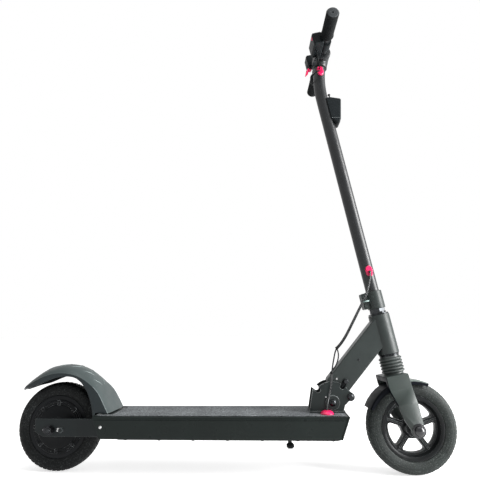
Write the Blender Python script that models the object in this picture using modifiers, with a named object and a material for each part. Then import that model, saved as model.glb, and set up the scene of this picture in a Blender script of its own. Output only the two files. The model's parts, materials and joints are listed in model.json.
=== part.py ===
"""Folding electric scooter with a hub motor, a folding arm and a sprung fork.

X points forward, Y to the rider's left and Z up, in metres. The origin is on the
ground, midway between the axles.
"""

import math

import bmesh
import bpy
from mathutils import Matrix, Vector

# Gaps between pieces
SEAT = 0.0003
RUNNING = 0.0006
MERGE = 0.00001
PAST = 0.010

# Wheels
WHEEL_R = 0.108
TYRE_WIDTH = 0.050
TYRE_WALL = 0.005
RIM_SEAT_R = 0.0725
RIM_FLANGE_H = 0.004
RIM_FLANGE_T = 0.0025
RIM_WIDTH = 0.040
AXLE_R = 0.006
AXLE_SHOULDER_T = 0.0035
AXLE_PAST_DROPOUT = 0.0125
TURN_SIDES = 24

# Deck, from its rear end just ahead of the rear tyre
DECK_TYRE_GAP = 0.004
DECK_LENGTH = 0.621
DECK_TO_FRONT_AXLE = 0.156
DECK_WIDTH = 0.163
DECK_DEPTH = 0.0515
DECK_OVER_AXLE = 0.0352
DECK_WALL = 0.004
DECK_CORNER_R = 0.005
DECK_REAR_SLANT = 0.021
DECK_FRONT_SLANT = 0.020
GROOVE_DROP = 0.0078
GROOVE_H = 0.0022
GROOVE_D = 0.0012
LIP_WIDTH = 0.012
LIP_T = 0.003
CAP_T = 0.005
TAPE_T = 0.001
TAPE_MARGIN = 0.006
TAPE_CAP_GAP = 0.003
TAPE_GAP = 0.001
COVER_T = 0.002
COVER_START = 0.061
COVER_MARGIN = 0.005
BATTERY_START = 0.216
BATTERY_TO_FRONT = 0.065
BATTERY_SIDE_GAP = 0.0195
BATTERY_TOP_GAP = 0.0145
BATTERY_CORNER_R = 0.006
CONTROLLER_SIZE = (0.110, 0.090, 0.024)
CONTROLLER_START = 0.082
CONTROLLER_FINS = 6
PORT_R = 0.011
PORT_LIP = 0.0026
PORT_BACK = 0.076
PORT_LEVEL = 0.45

# Dropout plates
DROPOUT_Y = 0.058
DROPOUT_T = 0.004
DROPOUT_REACH = 0.040
DROPOUT_TOP = 0.0265
DROPOUT_DEPTH = 0.0155
DROPOUT_END = 0.160
DROPOUT_SCREW_X = 0.1348
DROPOUT_SCREW_Z = 0.0103
DROPOUT_BOLT_X = 0.028
DROPOUT_BOLT_R = 0.006
DROPOUT_BOLT_L = 0.010
DROPOUT_SPACER_R = 0.008
DROPOUT_CHAMFER = 0.023
REAR_WASHER_R = 0.0115
REAR_WASHER_T = 0.002
REAR_NUT_R = 0.0095
REAR_NUT_L = 0.009

# Hub motor
MOTOR_BORE_R = AXLE_R + RUNNING
MOTOR_WALL = 0.010
MOTOR_BOSS_R = 0.022
MOTOR_BOSS_Y = 0.034
MOTOR_STEP = 0.004
MOTOR_RECESS = 0.0032
COVER_LUGS = 8
COVER_LUG_SIZE = (0.012, 0.004, 0.005)
COVER_RING_R = 0.052
STATOR_R = 0.058
STATOR_WIDTH = 0.026
STATOR_TEETH = 12
TOOTH_WIDTH = 0.014

# Rear fender and its hinge
FENDER_T = 0.0025
FENDER_PIN_X = 0.126
FENDER_PIN_UP = 0.0078
FENDER_PIN_R = 0.003
FENDER_TRAVEL = 6.0
FENDER_DECK_GAP = 0.0015
FENDER_CHEEK_BACK = 0.018
FENDER_LUG_Y = 0.030
FENDER_LUG_T = 0.006
FENDER_PLATE_T = 0.0025
FENDER_PLATE_L = 0.022
FENDER_BOSS_Y = 0.040
FENDER_FOOT_WIDTH = 0.116
FENDER_FOOT_END = 0.156

# Angle about the axle, then how far the ridge, the crease and the edge stand over the tyre's
# radius, and the half width
FENDER_STATIONS = (
    (139, 0.0312, 0.0296, 0.0270, 0.012),
    (133, 0.0311, 0.0265, 0.0211, 0.030),
    (119, 0.0341, 0.0215, 0.0092, 0.041),
    (103, 0.0411, 0.0232, 0.0096, 0.044),
    (85, 0.0464, 0.0265, 0.0174, 0.046),
    (68, 0.0470, 0.0295, 0.0236, 0.048),
    (53, 0.0420, 0.0315, 0.0184, 0.051),
    (38, 0.0380, 0.0345, 0.0102, 0.055),
    (24, 0.0373, 0.0358, 0.0040, 0.058),
    (12, 0.0435, 0.0410, 0.0000, 0.058),
)

# Kickstand
KICK_BACK = 0.141
KICK_INSIDE = 0.0355
KICK_DROP = 0.0180
KICK_PLATE_L = 0.040
KICK_PLATE_T = 0.004
KICK_PLATE_EDGE = 0.0040
KICK_EAR_IN = 0.0062
KICK_EAR_T = 0.003
KICK_EAR_HALF = 0.010
KICK_EAR_R = 0.0075
KICK_PLATE_REACH = 0.017
KICK_HUB_T = 0.0025
KICK_COVER_GAP = 0.0015
KICK_LENGTH = 0.086
KICK_SAG = 1.6
KICK_R = 0.005
KICK_FOOT_WIDTH = 0.0185
KICK_FOOT_HEIGHT = 0.0125
KICK_FOOT_L = 0.018
KICK_PIN_R = 0.004

# Fold hinge, from the pivot
PIVOT_BACK = 0.0334
PIVOT_OVER_DECK = 0.0241
PLATE_Y = 0.0243
PLATE_T = 0.005
PLATE_ARC_R = 0.050
HINGE_REAR_X = -0.0576
HINGE_FRONT_X = 0.0298
HINGE_BASE_LIP = 0.0015
HINGE_BASE_T = 0.0042
HINGE_BOSS_R = 0.017
HINGE_BOSS_T = 0.0015
FOLD_BOLT_R = 0.006
FOLD_HEAD_R = 0.0085
FOLD_HEAD_T = 0.005
FOLD_ANGLE = 84.0
STOP_X = 0.0441
STOP_Z = 0.0135
STOP_EAR_R = 0.0105
LOCK_ANGLE = 55.0
LOCK_R = 0.0055
LOCK_OUT = 0.061
LOCK_IN = 0.0453
LOCK_OVERHANG = 0.0045
NOTCH_GAP = 0.0009
NOTCH_WALL = 0.0008
NOTCH_WALL_R = 0.0565

# Folding arm
ARM_HEIGHT = 0.0583
ARM_WIDTH = 0.044
ARM_OFFSET = 0.0137
ARM_BOSS_R = 0.016
ARM_HEEL = 0.034
ARM_MEET = 0.068

# Steering axis, with its heights upward from the crown
LEAN = math.radians(10.41)
AXLE_AHEAD = 0.0069
STEER_AT_REST = math.radians(3.8)
CROWN_GAP = 0.0082
CROWN_T = 0.0122
BELLOWS_L = 0.0440
BELLOWS_R = 0.0285
BELLOWS_RIBS = 5
BELLOWS_DEPTH = 0.0045
BELLOWS_WALL = 0.002
FLANGE_T = 0.002
CUP_LOW_T = 0.003
HEAD_TUBE_L = 0.0989
HEAD_TUBE_R = 0.0265
CUP_TOP_T = 0.0038
NUT_T = 0.0114
NUT_R = 0.020
CLAMP_L = 0.0456
CLAMP_R = 0.0222
CLAMP_EAR = 0.0125
CLAMP_EAR_HALF = 0.0115
CLAMP_EAR_FOOT = 0.003
CLAMP_SLIT = 0.002
STEERER_R = 0.018
STEERER_BORE_R = 0.0148
STEERER_IN_CLAMP = 0.026
SPRING_ROOM = 0.070
SPRING_WIRE_R = 0.0015
SPRING_R = 0.0115
SPRING_TURNS = 5
FORK_TUBE_R = 0.0142
FORK_TUBE_L = 0.105

# Stem and handlebar
STEM_R = 0.017
STEM_WALL = 0.002
STEM_STRAIGHT = 0.5875
STEM_BEND_R = 0.3258
STEM_BEND = math.radians(24.2)
STEM_BEND_STEPS = 6
STEM_COLLAR_R = 0.0210
STEM_COLLAR_L = 0.034
STEM_TO_BAR = 0.0155
BAR_R = 0.0111
BAR_WALL = 0.002
BAR_HALF = 0.190
BAR_CLAMP_R = 0.0235
BAR_CLAMP_HALF = 0.030
CLAMP_POD_GAP = 0.002
POD_GRIP_GAP = 0.0015
GRIP_R = 0.017
GRIP_END_T = 0.005
GRIP_RIBS = 5
GRIP_RIB_H = 0.0010
POD_RING_R = 0.0165
POD_RING_L = 0.026
DISPLAY_WIDTH = 0.066
DISPLAY_LENGTH = 0.029
DISPLAY_HEIGHT = 0.038
DISPLAY_BACK = 0.024
DISPLAY_UP = 0.001
BRAKE_POD_WIDTH = 0.038
BRAKE_POD_LENGTH = 0.021
BRAKE_POD_HEIGHT = 0.033
BRAKE_POD_Y = 0.060
BRAKE_POD_BACK = 0.020
BRAKE_POD_UP = 0.0305
POD_CORNER_R = 0.004
LEVER_T = 0.004
LEVER_HUB_R = 0.0048
LEVER_HUB_HALF = 0.006
LEVER_PIN_R = 0.0018
THROTTLE_OFF = (0.0015, 0.0210, -0.0250)
BRAKE_OFF = (-0.0030, 0.0, -0.0233)
LEVER_LENGTH = 0.021
CHEEK_T = 0.003
BUTTON_R = 0.0045
BUTTON_TRAVEL = 0.0012
BUTTON_SIDE = 0.021
BUTTON_UP = 0.007
LIGHT_DROP = 0.0045
LIGHT_WIDTH = 0.038
LIGHT_SADDLE = 0.006
LIGHT_BROW = (0.0317, 0.0112)
LIGHT_CHIN = (0.0169, 0.0716)
LIGHT_TIP_FRONT = (0.0103, 0.0850)
LIGHT_TIP_REAR = (0.0028, 0.0825)
LIGHT_SADDLE_LOW = 0.0650
LIGHT_KNOB_R = 0.0037
LIGHT_KNOB_H = 0.015
LENS_R = 0.0140
LENS_T = 0.003
GROMMET_W = 0.017
GROMMET_H = 0.029
GROMMET_T = 0.0055
GROMMET_LOW = 0.0715
GROMMET_TOP = 0.0815

# Cords: the cables' points are seen from the bar, the harness's from the stem's lower grommet,
# along the arm and from the fold pivot
CABLE_R = 0.0018
CABLE_RIGHT = (
    (-0.0290, -0.0720, -0.0186),
    (-0.0300, -0.0720, -0.0290),
    (-0.0300, -0.0660, -0.0450),
    (-0.0260, -0.0500, -0.0530),
    (-0.0210, -0.0340, -0.0500),
    (-0.0190, -0.0235, -0.0475),
)
CABLE_LEFT = (
    (-0.0040, 0.0600, -0.0170),
    (-0.0060, 0.0590, -0.0260),
    (-0.0180, 0.0500, -0.0460),
    (-0.0370, 0.0280, -0.0640),
    (-0.0480, 0.0000, -0.0690),
    (-0.0440, -0.0230, -0.0660),
    (-0.0310, -0.0310, -0.0600),
    (-0.0230, -0.0290, -0.0570),
    (-0.0205, -0.0235, -0.0555),
)
HARNESS_UPPER = (
    (0.0000, -0.0229, -0.0020),
    (0.0000, -0.0258, -0.0024),
    (-0.0012, -0.0272, -0.0090),
    (-0.0030, -0.0275, -0.0220),
    (-0.0080, -0.0280, -0.0420),
    (-0.0190, -0.0280, -0.0620),
    (-0.0355, -0.0280, -0.0820),
    (-0.0480, -0.0285, -0.1000),
    (-0.0830, -0.0290, -0.1380),
    (-0.1130, -0.0290, -0.1700),
)
HARNESS_LOOP = (
    (0.1130, -0.0290, 0.0740),
    (0.1060, -0.0300, 0.0690),
    (0.0960, -0.0320, 0.0630),
    (0.0850, -0.0350, 0.0580),
    (0.0700, -0.0375, 0.0520),
    (0.0560, -0.0385, 0.0460),
    (0.0445, -0.0385, 0.0405),
)
HARNESS_LOWER = (
    (-0.0030, -0.0385, 0.0555),
    (-0.0040, -0.0388, 0.0480),
    (-0.0065, -0.0400, 0.0360),
    (-0.0110, -0.0440, 0.0150),
    (-0.0150, -0.0480, 0.0000),
    (-0.0170, -0.0490, -0.0110),
)
GROMMET_PLACE = (-0.0170, -0.0490)
GROMMET_R = 0.016
GROMMET_UP = 0.0095

# Fork
FORK_TOP_HALF = 0.046
FORK_LOW_HALF = 0.058
FORK_LEG_T = 0.0098
FORK_FRONT = 0.0215
FORK_END_R = 0.017
FORK_BEND_DROP = 0.020
FORK_BEND_L = 0.034
FORK_BACK_LOW = 0.0195
FORK_BACK_LOW_Z = 0.027
FORK_BACK_MID = 0.0240
FORK_BACK_MID_Z = 0.053
FORK_BACK_HIGH = 0.0325
FORK_BACK_HIGH_DROP = 0.022
CROWN_BACK = 0.0345
FRONT_AXLE_R = 0.005
HUB_HALF = 0.027
HUB_R = 0.020
WEB_HALF = 0.008
SPOKES = 5
SPOKE_WIDTH = 0.013
WINDOW_OUT_R = 0.058
WINDOW_IN_R = 0.027
WINDOW_CORNER = 0.004
FRONT_FENDER_OVER = 0.0055
FRONT_FENDER_HALF = 0.033
FRONT_FENDER_SKIRT = 0.0165
FRONT_FENDER_EDGE = 0.004
FRONT_FENDER_FROM = 146
FRONT_FENDER_TO = 57
FRONT_FENDER_T = 0.0022

# Finishes: colour, roughness, metallic
CHARCOAL = ((0.030, 0.033, 0.036), 0.45, 0.3)
DARK_SLATE = ((0.050, 0.058, 0.064), 0.40, 0.3)
FORK_GREEN = ((0.090, 0.110, 0.110), 0.38, 0.4)
BLACK_PAINT = ((0.020, 0.021, 0.023), 0.32, 0.3)
BLACK_PLASTIC = ((0.014, 0.014, 0.015), 0.50, 0.0)
RUBBER = ((0.012, 0.012, 0.012), 0.80, 0.0)
GRIT = ((0.060, 0.062, 0.064), 0.95, 0.0)
STEEL = ((0.450, 0.450, 0.460), 0.30, 1.0)
DARK_STEEL = ((0.080, 0.080, 0.085), 0.35, 0.9)
COPPER = ((0.600, 0.250, 0.120), 0.35, 1.0)
CRIMSON = ((0.520, 0.010, 0.045), 0.45, 0.0)
SHRINK_BLUE = ((0.030, 0.090, 0.250), 0.45, 0.0)
CLEAR = ((0.750, 0.800, 0.850), 0.08, 0.0)

UPRIGHT = Matrix()
ROD_AXES = {
    "X": Matrix.Rotation(math.pi / 2, 4, "Y"),
    "Y": Matrix.Rotation(-math.pi / 2, 4, "X"),
    "Z": UPRIGHT,
}
FLAT_AXES = {
    "X": Matrix(((0, 0, 1, 0), (1, 0, 0, 0), (0, 1, 0, 0), (0, 0, 0, 1))),
    "Y": Matrix.Rotation(math.pi / 2, 4, "X"),
    "Z": UPRIGHT,
}

for leftover in list(bpy.data.objects):
    bpy.data.objects.remove(leftover, do_unlink=True)
PARTS = bpy.data.collections.new("electric_scooter")
TOOLS = bpy.data.collections.new("cutters")
JOINTS = bpy.data.collections.new("joint_axes")
for group in (PARTS, TOOLS, JOINTS):
    bpy.context.scene.collection.children.link(group)
TOOLS.hide_render = True


# Shapes


def shape(name, data, matrix=UPRIGHT):
    """An object among the cutters, until part() makes it a sub-part."""
    obj = bpy.data.objects.new(name, data)
    obj.matrix_basis = matrix
    obj.hide_render = True
    obj.display_type = "WIRE"
    TOOLS.objects.link(obj)
    return obj


def box(name, size, centre):
    made = bmesh.new()
    bmesh.ops.create_cube(made, size=1, matrix=Matrix.Diagonal((*size, 1)))
    mesh = bpy.data.meshes.new(name)
    made.to_mesh(mesh)
    made.free()
    return shape(name, mesh, Matrix.Translation(centre))


def rod(name, radius, length, centre, axis="Z", sides=16):
    made = bmesh.new()
    bmesh.ops.create_cone(
        made,
        cap_ends=True,
        segments=sides,
        radius1=radius,
        radius2=radius,
        depth=length,
    )
    mesh = bpy.data.meshes.new(name)
    made.to_mesh(mesh)
    made.free()
    return shape(name, mesh, Matrix.Translation(centre) @ ROD_AXES[axis])


def turned(name, profile, centre=(0, 0, 0), axis="Z", sides=TURN_SIDES, ring=True):
    """Points of (radius, height), down the outer side and up the inner one, turned about the axis."""
    made = bmesh.new()
    corners = [made.verts.new((radius, 0, height)) for radius, height in profile]
    for start, end in zip(corners, corners[1:]):
        made.edges.new((start, end))
    if ring:
        made.edges.new((corners[-1], corners[0]))
    mesh = bpy.data.meshes.new(name)
    made.to_mesh(mesh)
    made.free()
    obj = shape(name, mesh, Matrix.Translation(centre) @ ROD_AXES[axis])
    screw = obj.modifiers.new("turn", "SCREW")
    screw.steps = sides
    screw.render_steps = sides
    screw.use_merge_vertices = True
    screw.merge_threshold = MERGE
    screw.use_smooth_shade = True
    return obj


def as_mesh(curve, flat=False):
    """A closed mesh object in place of a curve."""
    bpy.context.view_layer.update()
    graph = bpy.context.evaluated_depsgraph_get()
    mesh = bpy.data.meshes.new_from_object(curve.evaluated_get(graph))
    made = bmesh.new()
    made.from_mesh(mesh)
    bmesh.ops.remove_doubles(made, verts=made.verts, dist=MERGE)
    if flat:
        bmesh.ops.dissolve_limit(
            made, angle_limit=0.001, verts=made.verts, edges=made.edges
        )
    bmesh.ops.recalc_face_normals(made, faces=made.faces)
    made.to_mesh(mesh)
    made.free()
    name = curve.name
    matrix = curve.matrix_basis.copy()
    bpy.data.objects.remove(curve)
    return shape(name, mesh, matrix)


def plate(name, outline, low, high, axis):
    """A flat outline, from low to high along the axis. Its points are XZ, YZ or XY."""
    curve = bpy.data.curves.new(name, "CURVE")
    curve.dimensions = "2D"
    curve.fill_mode = "BOTH"
    curve.extrude = (high - low) / 2
    spline = curve.splines.new("POLY")
    spline.points.add(len(outline) - 1)
    for point, (across, up) in zip(spline.points, outline):
        point.co = (across, up, 0, 1)
    spline.use_cyclic_u = True
    middle = [(low + high) / 2 if letter == axis else 0 for letter in "XYZ"]
    obj = shape(name, curve, Matrix.Translation(middle) @ FLAT_AXES[axis])
    return as_mesh(obj, flat=True)


def tube(name, route, radius, resolution=2):
    """A round rod along a route. Its resolution gives 4 + 2 * resolution sides."""
    curve = bpy.data.curves.new(name, "CURVE")
    curve.dimensions = "3D"
    curve.bevel_depth = radius
    curve.bevel_resolution = resolution
    curve.use_fill_caps = True
    spline = curve.splines.new("POLY")
    spline.points.add(len(route) - 1)
    for point, place in zip(spline.points, route):
        point.co = (*place, 1)
    return as_mesh(shape(name, curve))


def shell(name, sections, thickness):
    """A skin through rows of points, with its wall inside them."""
    made = bmesh.new()
    rows = [[made.verts.new(place) for place in row] for row in sections]
    for row, after in zip(rows, rows[1:]):
        for i in range(len(row) - 1):
            made.faces.new((row[i], after[i], after[i + 1], row[i + 1]))
    mesh = bpy.data.meshes.new(name)
    made.to_mesh(mesh)
    made.free()
    obj = shape(name, mesh)
    wall = obj.modifiers.new("wall", "SOLIDIFY")
    wall.thickness = thickness
    wall.offset = -1
    wall.use_even_offset = True
    return obj


def through(points, steps):
    """Points on a smooth curve through the given ones, with steps to each span."""
    points = [Vector(point) for point in points]
    ends = [2 * points[0] - points[1], *points, 2 * points[-1] - points[-2]]
    route = []
    for a, b, c, d in zip(ends, ends[1:], ends[2:], ends[3:]):
        for step in range(steps):
            t = step / steps
            bend = (2 * a - 5 * b + 4 * c - d) * t**2 + (3 * b - a - 3 * c + d) * t**3
            route.append((2 * b + (c - a) * t + bend) / 2)
    return [*route, points[-1]]


def arc(centre, radius, start, end, steps):
    """Points in a plane from one angle to another, in degrees."""
    angles = [math.radians(start + (end - start) * i / steps) for i in range(steps + 1)]
    return [
        (centre[0] + radius * math.cos(a), centre[1] + radius * math.sin(a)) for a in angles
    ]


def polar(radius, angle):
    """A point at an angle in degrees."""
    return radius * math.cos(math.radians(angle)), radius * math.sin(math.radians(angle))


def stadium(width, height, steps=5):
    """An upright outline with round ends."""
    rise = (height - width) / 2
    return [
        *arc((0, rise), width / 2, 0, 180, steps),
        *arc((0, -rise), width / 2, 180, 360, steps),
    ]


def rounded_rectangle(x0, x1, y0, y1, radius, steps=3):
    return [
        *arc((x1 - radius, y1 - radius), radius, 0, 90, steps),
        *arc((x0 + radius, y1 - radius), radius, 90, 180, steps),
        *arc((x0 + radius, y0 + radius), radius, 180, 270, steps),
        *arc((x1 - radius, y0 + radius), radius, 270, 360, steps),
    ]


def combine(obj, operation, others):
    for other in others:
        boolean = obj.modifiers.new(operation.lower(), "BOOLEAN")
        boolean.operation = operation
        boolean.object = other
    return obj


def cut(obj, *others):
    return combine(obj, "DIFFERENCE", others)


def fuse(obj, *others):
    return combine(obj, "UNION", others)


def round_edges(obj, width, segments=1):
    bevel = obj.modifiers.new("edges", "BEVEL")
    bevel.width = width
    bevel.segments = segments
    bevel.limit_method = "ANGLE"
    bevel.angle_limit = math.radians(40)
    return obj


def ride(obj, parent):
    """Carry obj, with the shapes that cut or join it, on a joint's empty."""
    obj.parent = parent
    for modifier in obj.modifiers:
        if modifier.type == "BOOLEAN":
            ride(modifier.object, parent)


def part(obj, finish, parent=None):
    """Make a shape a sub-part with its own material."""
    colour, roughness, metallic = finish
    material = bpy.data.materials.new(obj.name)
    material.use_nodes = True
    shader = material.node_tree.nodes["Principled BSDF"]
    shader.inputs["Base Color"].default_value = (*colour, 1)
    shader.inputs["Roughness"].default_value = roughness
    shader.inputs["Metallic"].default_value = metallic
    material.diffuse_color = (*colour, 1)
    obj.data.materials.append(material)
    obj.data.shade_smooth()
    obj.data.set_sharp_from_angle(angle=math.radians(30))
    TOOLS.objects.unlink(obj)
    PARTS.objects.link(obj)
    obj.hide_render = False
    obj.display_type = "TEXTURED"
    ride(obj, parent)
    return obj


def joint(name, matrix, parent=None):
    """An empty on a joint's axis, placed in the world."""
    empty = bpy.data.objects.new(name, None)
    empty.empty_display_size = 0.03
    JOINTS.objects.link(empty)
    empty.parent = parent
    if parent:
        empty.matrix_parent_inverse = parent.matrix_world.inverted()
    empty.matrix_basis = matrix
    bpy.context.view_layer.update()
    return empty


# Places that the driving sizes give

AXLE_Z = WHEEL_R
WHEELBASE = WHEEL_R + DECK_TYRE_GAP + DECK_LENGTH + DECK_TO_FRONT_AXLE
REAR_X = -WHEELBASE / 2
FRONT_X = WHEELBASE / 2
DECK_REAR = REAR_X + WHEEL_R + DECK_TYRE_GAP
DECK_FRONT = DECK_REAR + DECK_LENGTH
DECK_TOP = AXLE_Z + DECK_OVER_AXLE
DECK_BOTTOM = DECK_TOP - DECK_DEPTH
RIM_FLANGE_R = RIM_SEAT_R + RIM_FLANGE_H
RIM_HALF = RIM_WIDTH / 2
RIM_SEAT_HALF = RIM_HALF - RIM_FLANGE_T
MOTOR_INNER_R = RIM_SEAT_R - MOTOR_WALL
REAR_AXLE_END = DROPOUT_Y + DROPOUT_T + AXLE_PAST_DROPOUT
KICK_HUB_R = KICK_PIN_R + RUNNING + KICK_HUB_T
NOTCH_R = LOCK_R + NOTCH_GAP
PIVOT = Vector((DECK_FRONT - PIVOT_BACK, 0, DECK_TOP + PIVOT_OVER_DECK))
STEER_FOOT_X = FRONT_X + (WHEEL_R * math.sin(LEAN) - AXLE_AHEAD) / math.cos(LEAN)
HEAD = Matrix.Translation((STEER_FOOT_X, 0, 0)) @ Matrix.Rotation(-LEAN, 4, "Y")
AXLE_UP = (HEAD.inverted() @ Vector((FRONT_X, 0, AXLE_Z))).z

CROWN_LOW = AXLE_UP + WHEEL_R + CROWN_GAP
CROWN_TOP = CROWN_LOW + CROWN_T
FLANGE_LOW = CROWN_TOP + BELLOWS_L + 2 * SEAT
CUP_LOW = FLANGE_LOW + FLANGE_T + SEAT
HEAD_LOW = CUP_LOW + CUP_LOW_T + SEAT
HEAD_TOP = HEAD_LOW + HEAD_TUBE_L
CUP_TOP = HEAD_TOP + SEAT
NUT_LOW = CUP_TOP + CUP_TOP_T + SEAT
CLAMP_LOW = NUT_LOW + NUT_T + SEAT
STEERER_TOP = CLAMP_LOW + STEERER_IN_CLAMP
STEM_LOW = STEERER_TOP + RUNNING
STEM_STRAIGHT_TOP = STEM_LOW + STEM_STRAIGHT
SPRING_LOW = CROWN_LOW + FORK_TUBE_L + SEAT
SPRING_TOP = SPRING_LOW + SPRING_ROOM

ARM_MEETING = HEAD @ Vector((0, 0, HEAD_LOW + ARM_MEET))
ARM_RISE = math.atan2(ARM_MEETING.z - PIVOT.z, ARM_MEETING.x - PIVOT.x)
ARM_ANGLE = ARM_RISE - math.asin(ARM_OFFSET / (ARM_MEETING - PIVOT).length)
ARM = Matrix.Translation(PIVOT) @ Matrix.Rotation(-ARM_ANGLE, 4, "Y")
HEAD_IN_ARM = ARM.inverted() @ HEAD
LOCK_TILT = math.radians(LOCK_ANGLE) - ARM_ANGLE


def bend_point(step):
    """A corner of the stem's centre line, which bends in equal steps up to the bar."""
    bend = STEM_BEND * step / STEM_BEND_STEPS
    forward = STEM_BEND_R * (1 - math.cos(bend))
    return Vector((forward, 0, STEM_STRAIGHT_TOP + STEM_BEND_R * math.sin(bend)))


STEM_CORNERS = [bend_point(step) for step in range(STEM_BEND_STEPS + 1)]
BAR = STEM_CORNERS[-1]
BAR_UP = BAR.z
STEM_TOP = BAR_UP - STEM_TO_BAR * math.cos(STEM_BEND)
BAR_ENDS = BAR_HALF - GRIP_END_T - SEAT
GRIP_START = BAR_CLAMP_HALF + CLAMP_POD_GAP + DISPLAY_WIDTH + POD_GRIP_GAP
DISPLAY_Y = -(BAR_CLAMP_HALF + CLAMP_POD_GAP + DISPLAY_WIDTH / 2)
DISPLAY_PLACE = Vector((-DISPLAY_BACK, DISPLAY_Y, DISPLAY_UP))
BRAKE_POD_PLACE = Vector((-BRAKE_POD_BACK, BRAKE_POD_Y, BRAKE_POD_UP))


def stem_point(up):
    """A point on the stem's centre line, at a height along the steering axis."""
    for low, high in zip(STEM_CORNERS, STEM_CORNERS[1:]):
        if low.z <= up <= high.z:
            return low.lerp(high, (up - low.z) / (high.z - low.z))
    return Vector((0, 0, up))


def stem_route(start, end):
    """The stem's centre line between two heights."""
    inside = [corner for corner in STEM_CORNERS if start < corner.z < end]
    return [stem_point(start), *inside, stem_point(end)]


TOP_GROMMET = stem_point(STEM_STRAIGHT_TOP + GROMMET_TOP)
LOW_GROMMET = stem_point(STEM_LOW + GROMMET_LOW)

# Joint frames

FOLD = joint("fold_axis", ARM)
LOCK = joint("lock_slide", ARM @ Matrix.Rotation(-LOCK_TILT, 4, "Y"), FOLD)
HEAD_FRAME = joint("head_frame", HEAD, FOLD)
STEER_MATRIX = HEAD @ Matrix.Rotation(STEER_AT_REST, 4, "Z")
STEER = joint("steer_axis", STEER_MATRIX, HEAD_FRAME)
FORK = joint("fork_slide", STEER_MATRIX, STEER)
FRONT_WHEEL = joint(
    "front_wheel_axis", STEER_MATRIX @ Matrix.Translation((AXLE_AHEAD, 0, AXLE_UP)), FORK
)
REAR_WHEEL = joint("rear_wheel_axis", Matrix.Translation((REAR_X, 0, AXLE_Z)))
FENDER_PIN = Vector((REAR_X + FENDER_PIN_X, 0, DECK_TOP + FENDER_PIN_UP))
FENDER = joint("fender_axis", Matrix.Translation(FENDER_PIN))
KICK_Y = DECK_WIDTH / 2 - KICK_INSIDE
KICK_HINGE = Vector((DECK_FRONT - KICK_BACK, KICK_Y, DECK_BOTTOM - KICK_DROP))
KICK = joint("kickstand_axis", Matrix.Translation(KICK_HINGE))
THROTTLE_PIN = DISPLAY_PLACE + Vector(THROTTLE_OFF)
BRAKE_PIN = BRAKE_POD_PLACE + Vector(BRAKE_OFF)
BUTTON_PLACE = DISPLAY_PLACE + Vector((-DISPLAY_LENGTH / 2, -BUTTON_SIDE, BUTTON_UP))
THROTTLE = joint("throttle_axis", STEER_MATRIX @ Matrix.Translation(BAR + THROTTLE_PIN), STEER)
BRAKE = joint("brake_axis", STEER_MATRIX @ Matrix.Translation(BAR + BRAKE_PIN), STEER)
BUTTON = joint("button_slide", STEER_MATRIX @ Matrix.Translation(BAR + BUTTON_PLACE), STEER)


# Deck


def deck_section():
    """The extrusion's outline across the deck, from the top corner down and round to the other."""
    half = DECK_WIDTH / 2
    groove = DECK_TOP - GROOVE_DROP
    lip = DECK_BOTTOM + LIP_T
    side = [
        *arc((half - DECK_CORNER_R, DECK_TOP - DECK_CORNER_R), DECK_CORNER_R, 90, 0, 3),
        (half, groove + GROOVE_H / 2),
        (half - GROOVE_D, groove + GROOVE_H / 2),
        (half - GROOVE_D, groove - GROOVE_H / 2),
        (half, groove - GROOVE_H / 2),
        (half, DECK_BOTTOM),
        (half - LIP_WIDTH, DECK_BOTTOM),
        (half - LIP_WIDTH, lip),
        (half - DECK_WALL, lip),
        (half - DECK_WALL, DECK_TOP - DECK_WALL),
    ]
    return side + [(-across, up) for across, up in reversed(side)]


def slanted_end(name, inset, outward):
    """A cutter past the deck's front (outward 1) or rear (-1) end, along its slant."""
    if outward > 0:
        top = DECK_FRONT - inset
        low = top - DECK_FRONT_SLANT
    else:
        top = DECK_REAR
        low = top + DECK_REAR_SLANT
    slope = (top - low) / DECK_DEPTH
    far = top + outward * 2 * PAST
    outline = [
        (low - slope * PAST, DECK_BOTTOM - PAST),
        (far, DECK_BOTTOM - PAST),
        (far, DECK_TOP + PAST),
        (top + slope * PAST, DECK_TOP + PAST),
    ]
    return plate(name, outline, -DECK_WIDTH, DECK_WIDTH, "Y")


def deck():
    channel = plate("deck_channel", deck_section(), DECK_REAR - PAST, DECK_FRONT + PAST, "X")
    cut(
        channel,
        slanted_end("deck_front_cut", CAP_T + SEAT, 1),
        slanted_end("deck_rear_cut", 0, -1),
        rod("port_hole", PORT_R + SEAT, 3 * PAST, port_place(), "Y"),
    )
    part(channel, CHARCOAL)


def port_place():
    return (DECK_FRONT - PORT_BACK, DECK_WIDTH / 2, DECK_BOTTOM + DECK_DEPTH * PORT_LEVEL)


def charge_port():
    profile = [
        (0, PORT_R / 3),
        (PORT_R * 0.85, PORT_R / 3),
        (PORT_R + PORT_LIP, PORT_R / 8),
        (PORT_R + PORT_LIP, SEAT),
        (PORT_R, SEAT),
        (PORT_R, -DECK_WALL - SEAT),
        (0, -DECK_WALL - SEAT),
    ]
    part(turned("charge_port_cap", profile, port_place(), "Y", 16, ring=False), RUBBER)


def front_cap():
    low = DECK_FRONT - DECK_FRONT_SLANT
    outline = [
        (low - CAP_T, DECK_BOTTOM),
        (low, DECK_BOTTOM),
        (DECK_FRONT, DECK_TOP),
        (DECK_FRONT - CAP_T, DECK_TOP),
    ]
    half = DECK_WIDTH / 2
    cap = plate("front_cap", outline, -half, half, "Y")
    part(round_edges(cap, CAP_T / 4), CHARCOAL)


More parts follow.
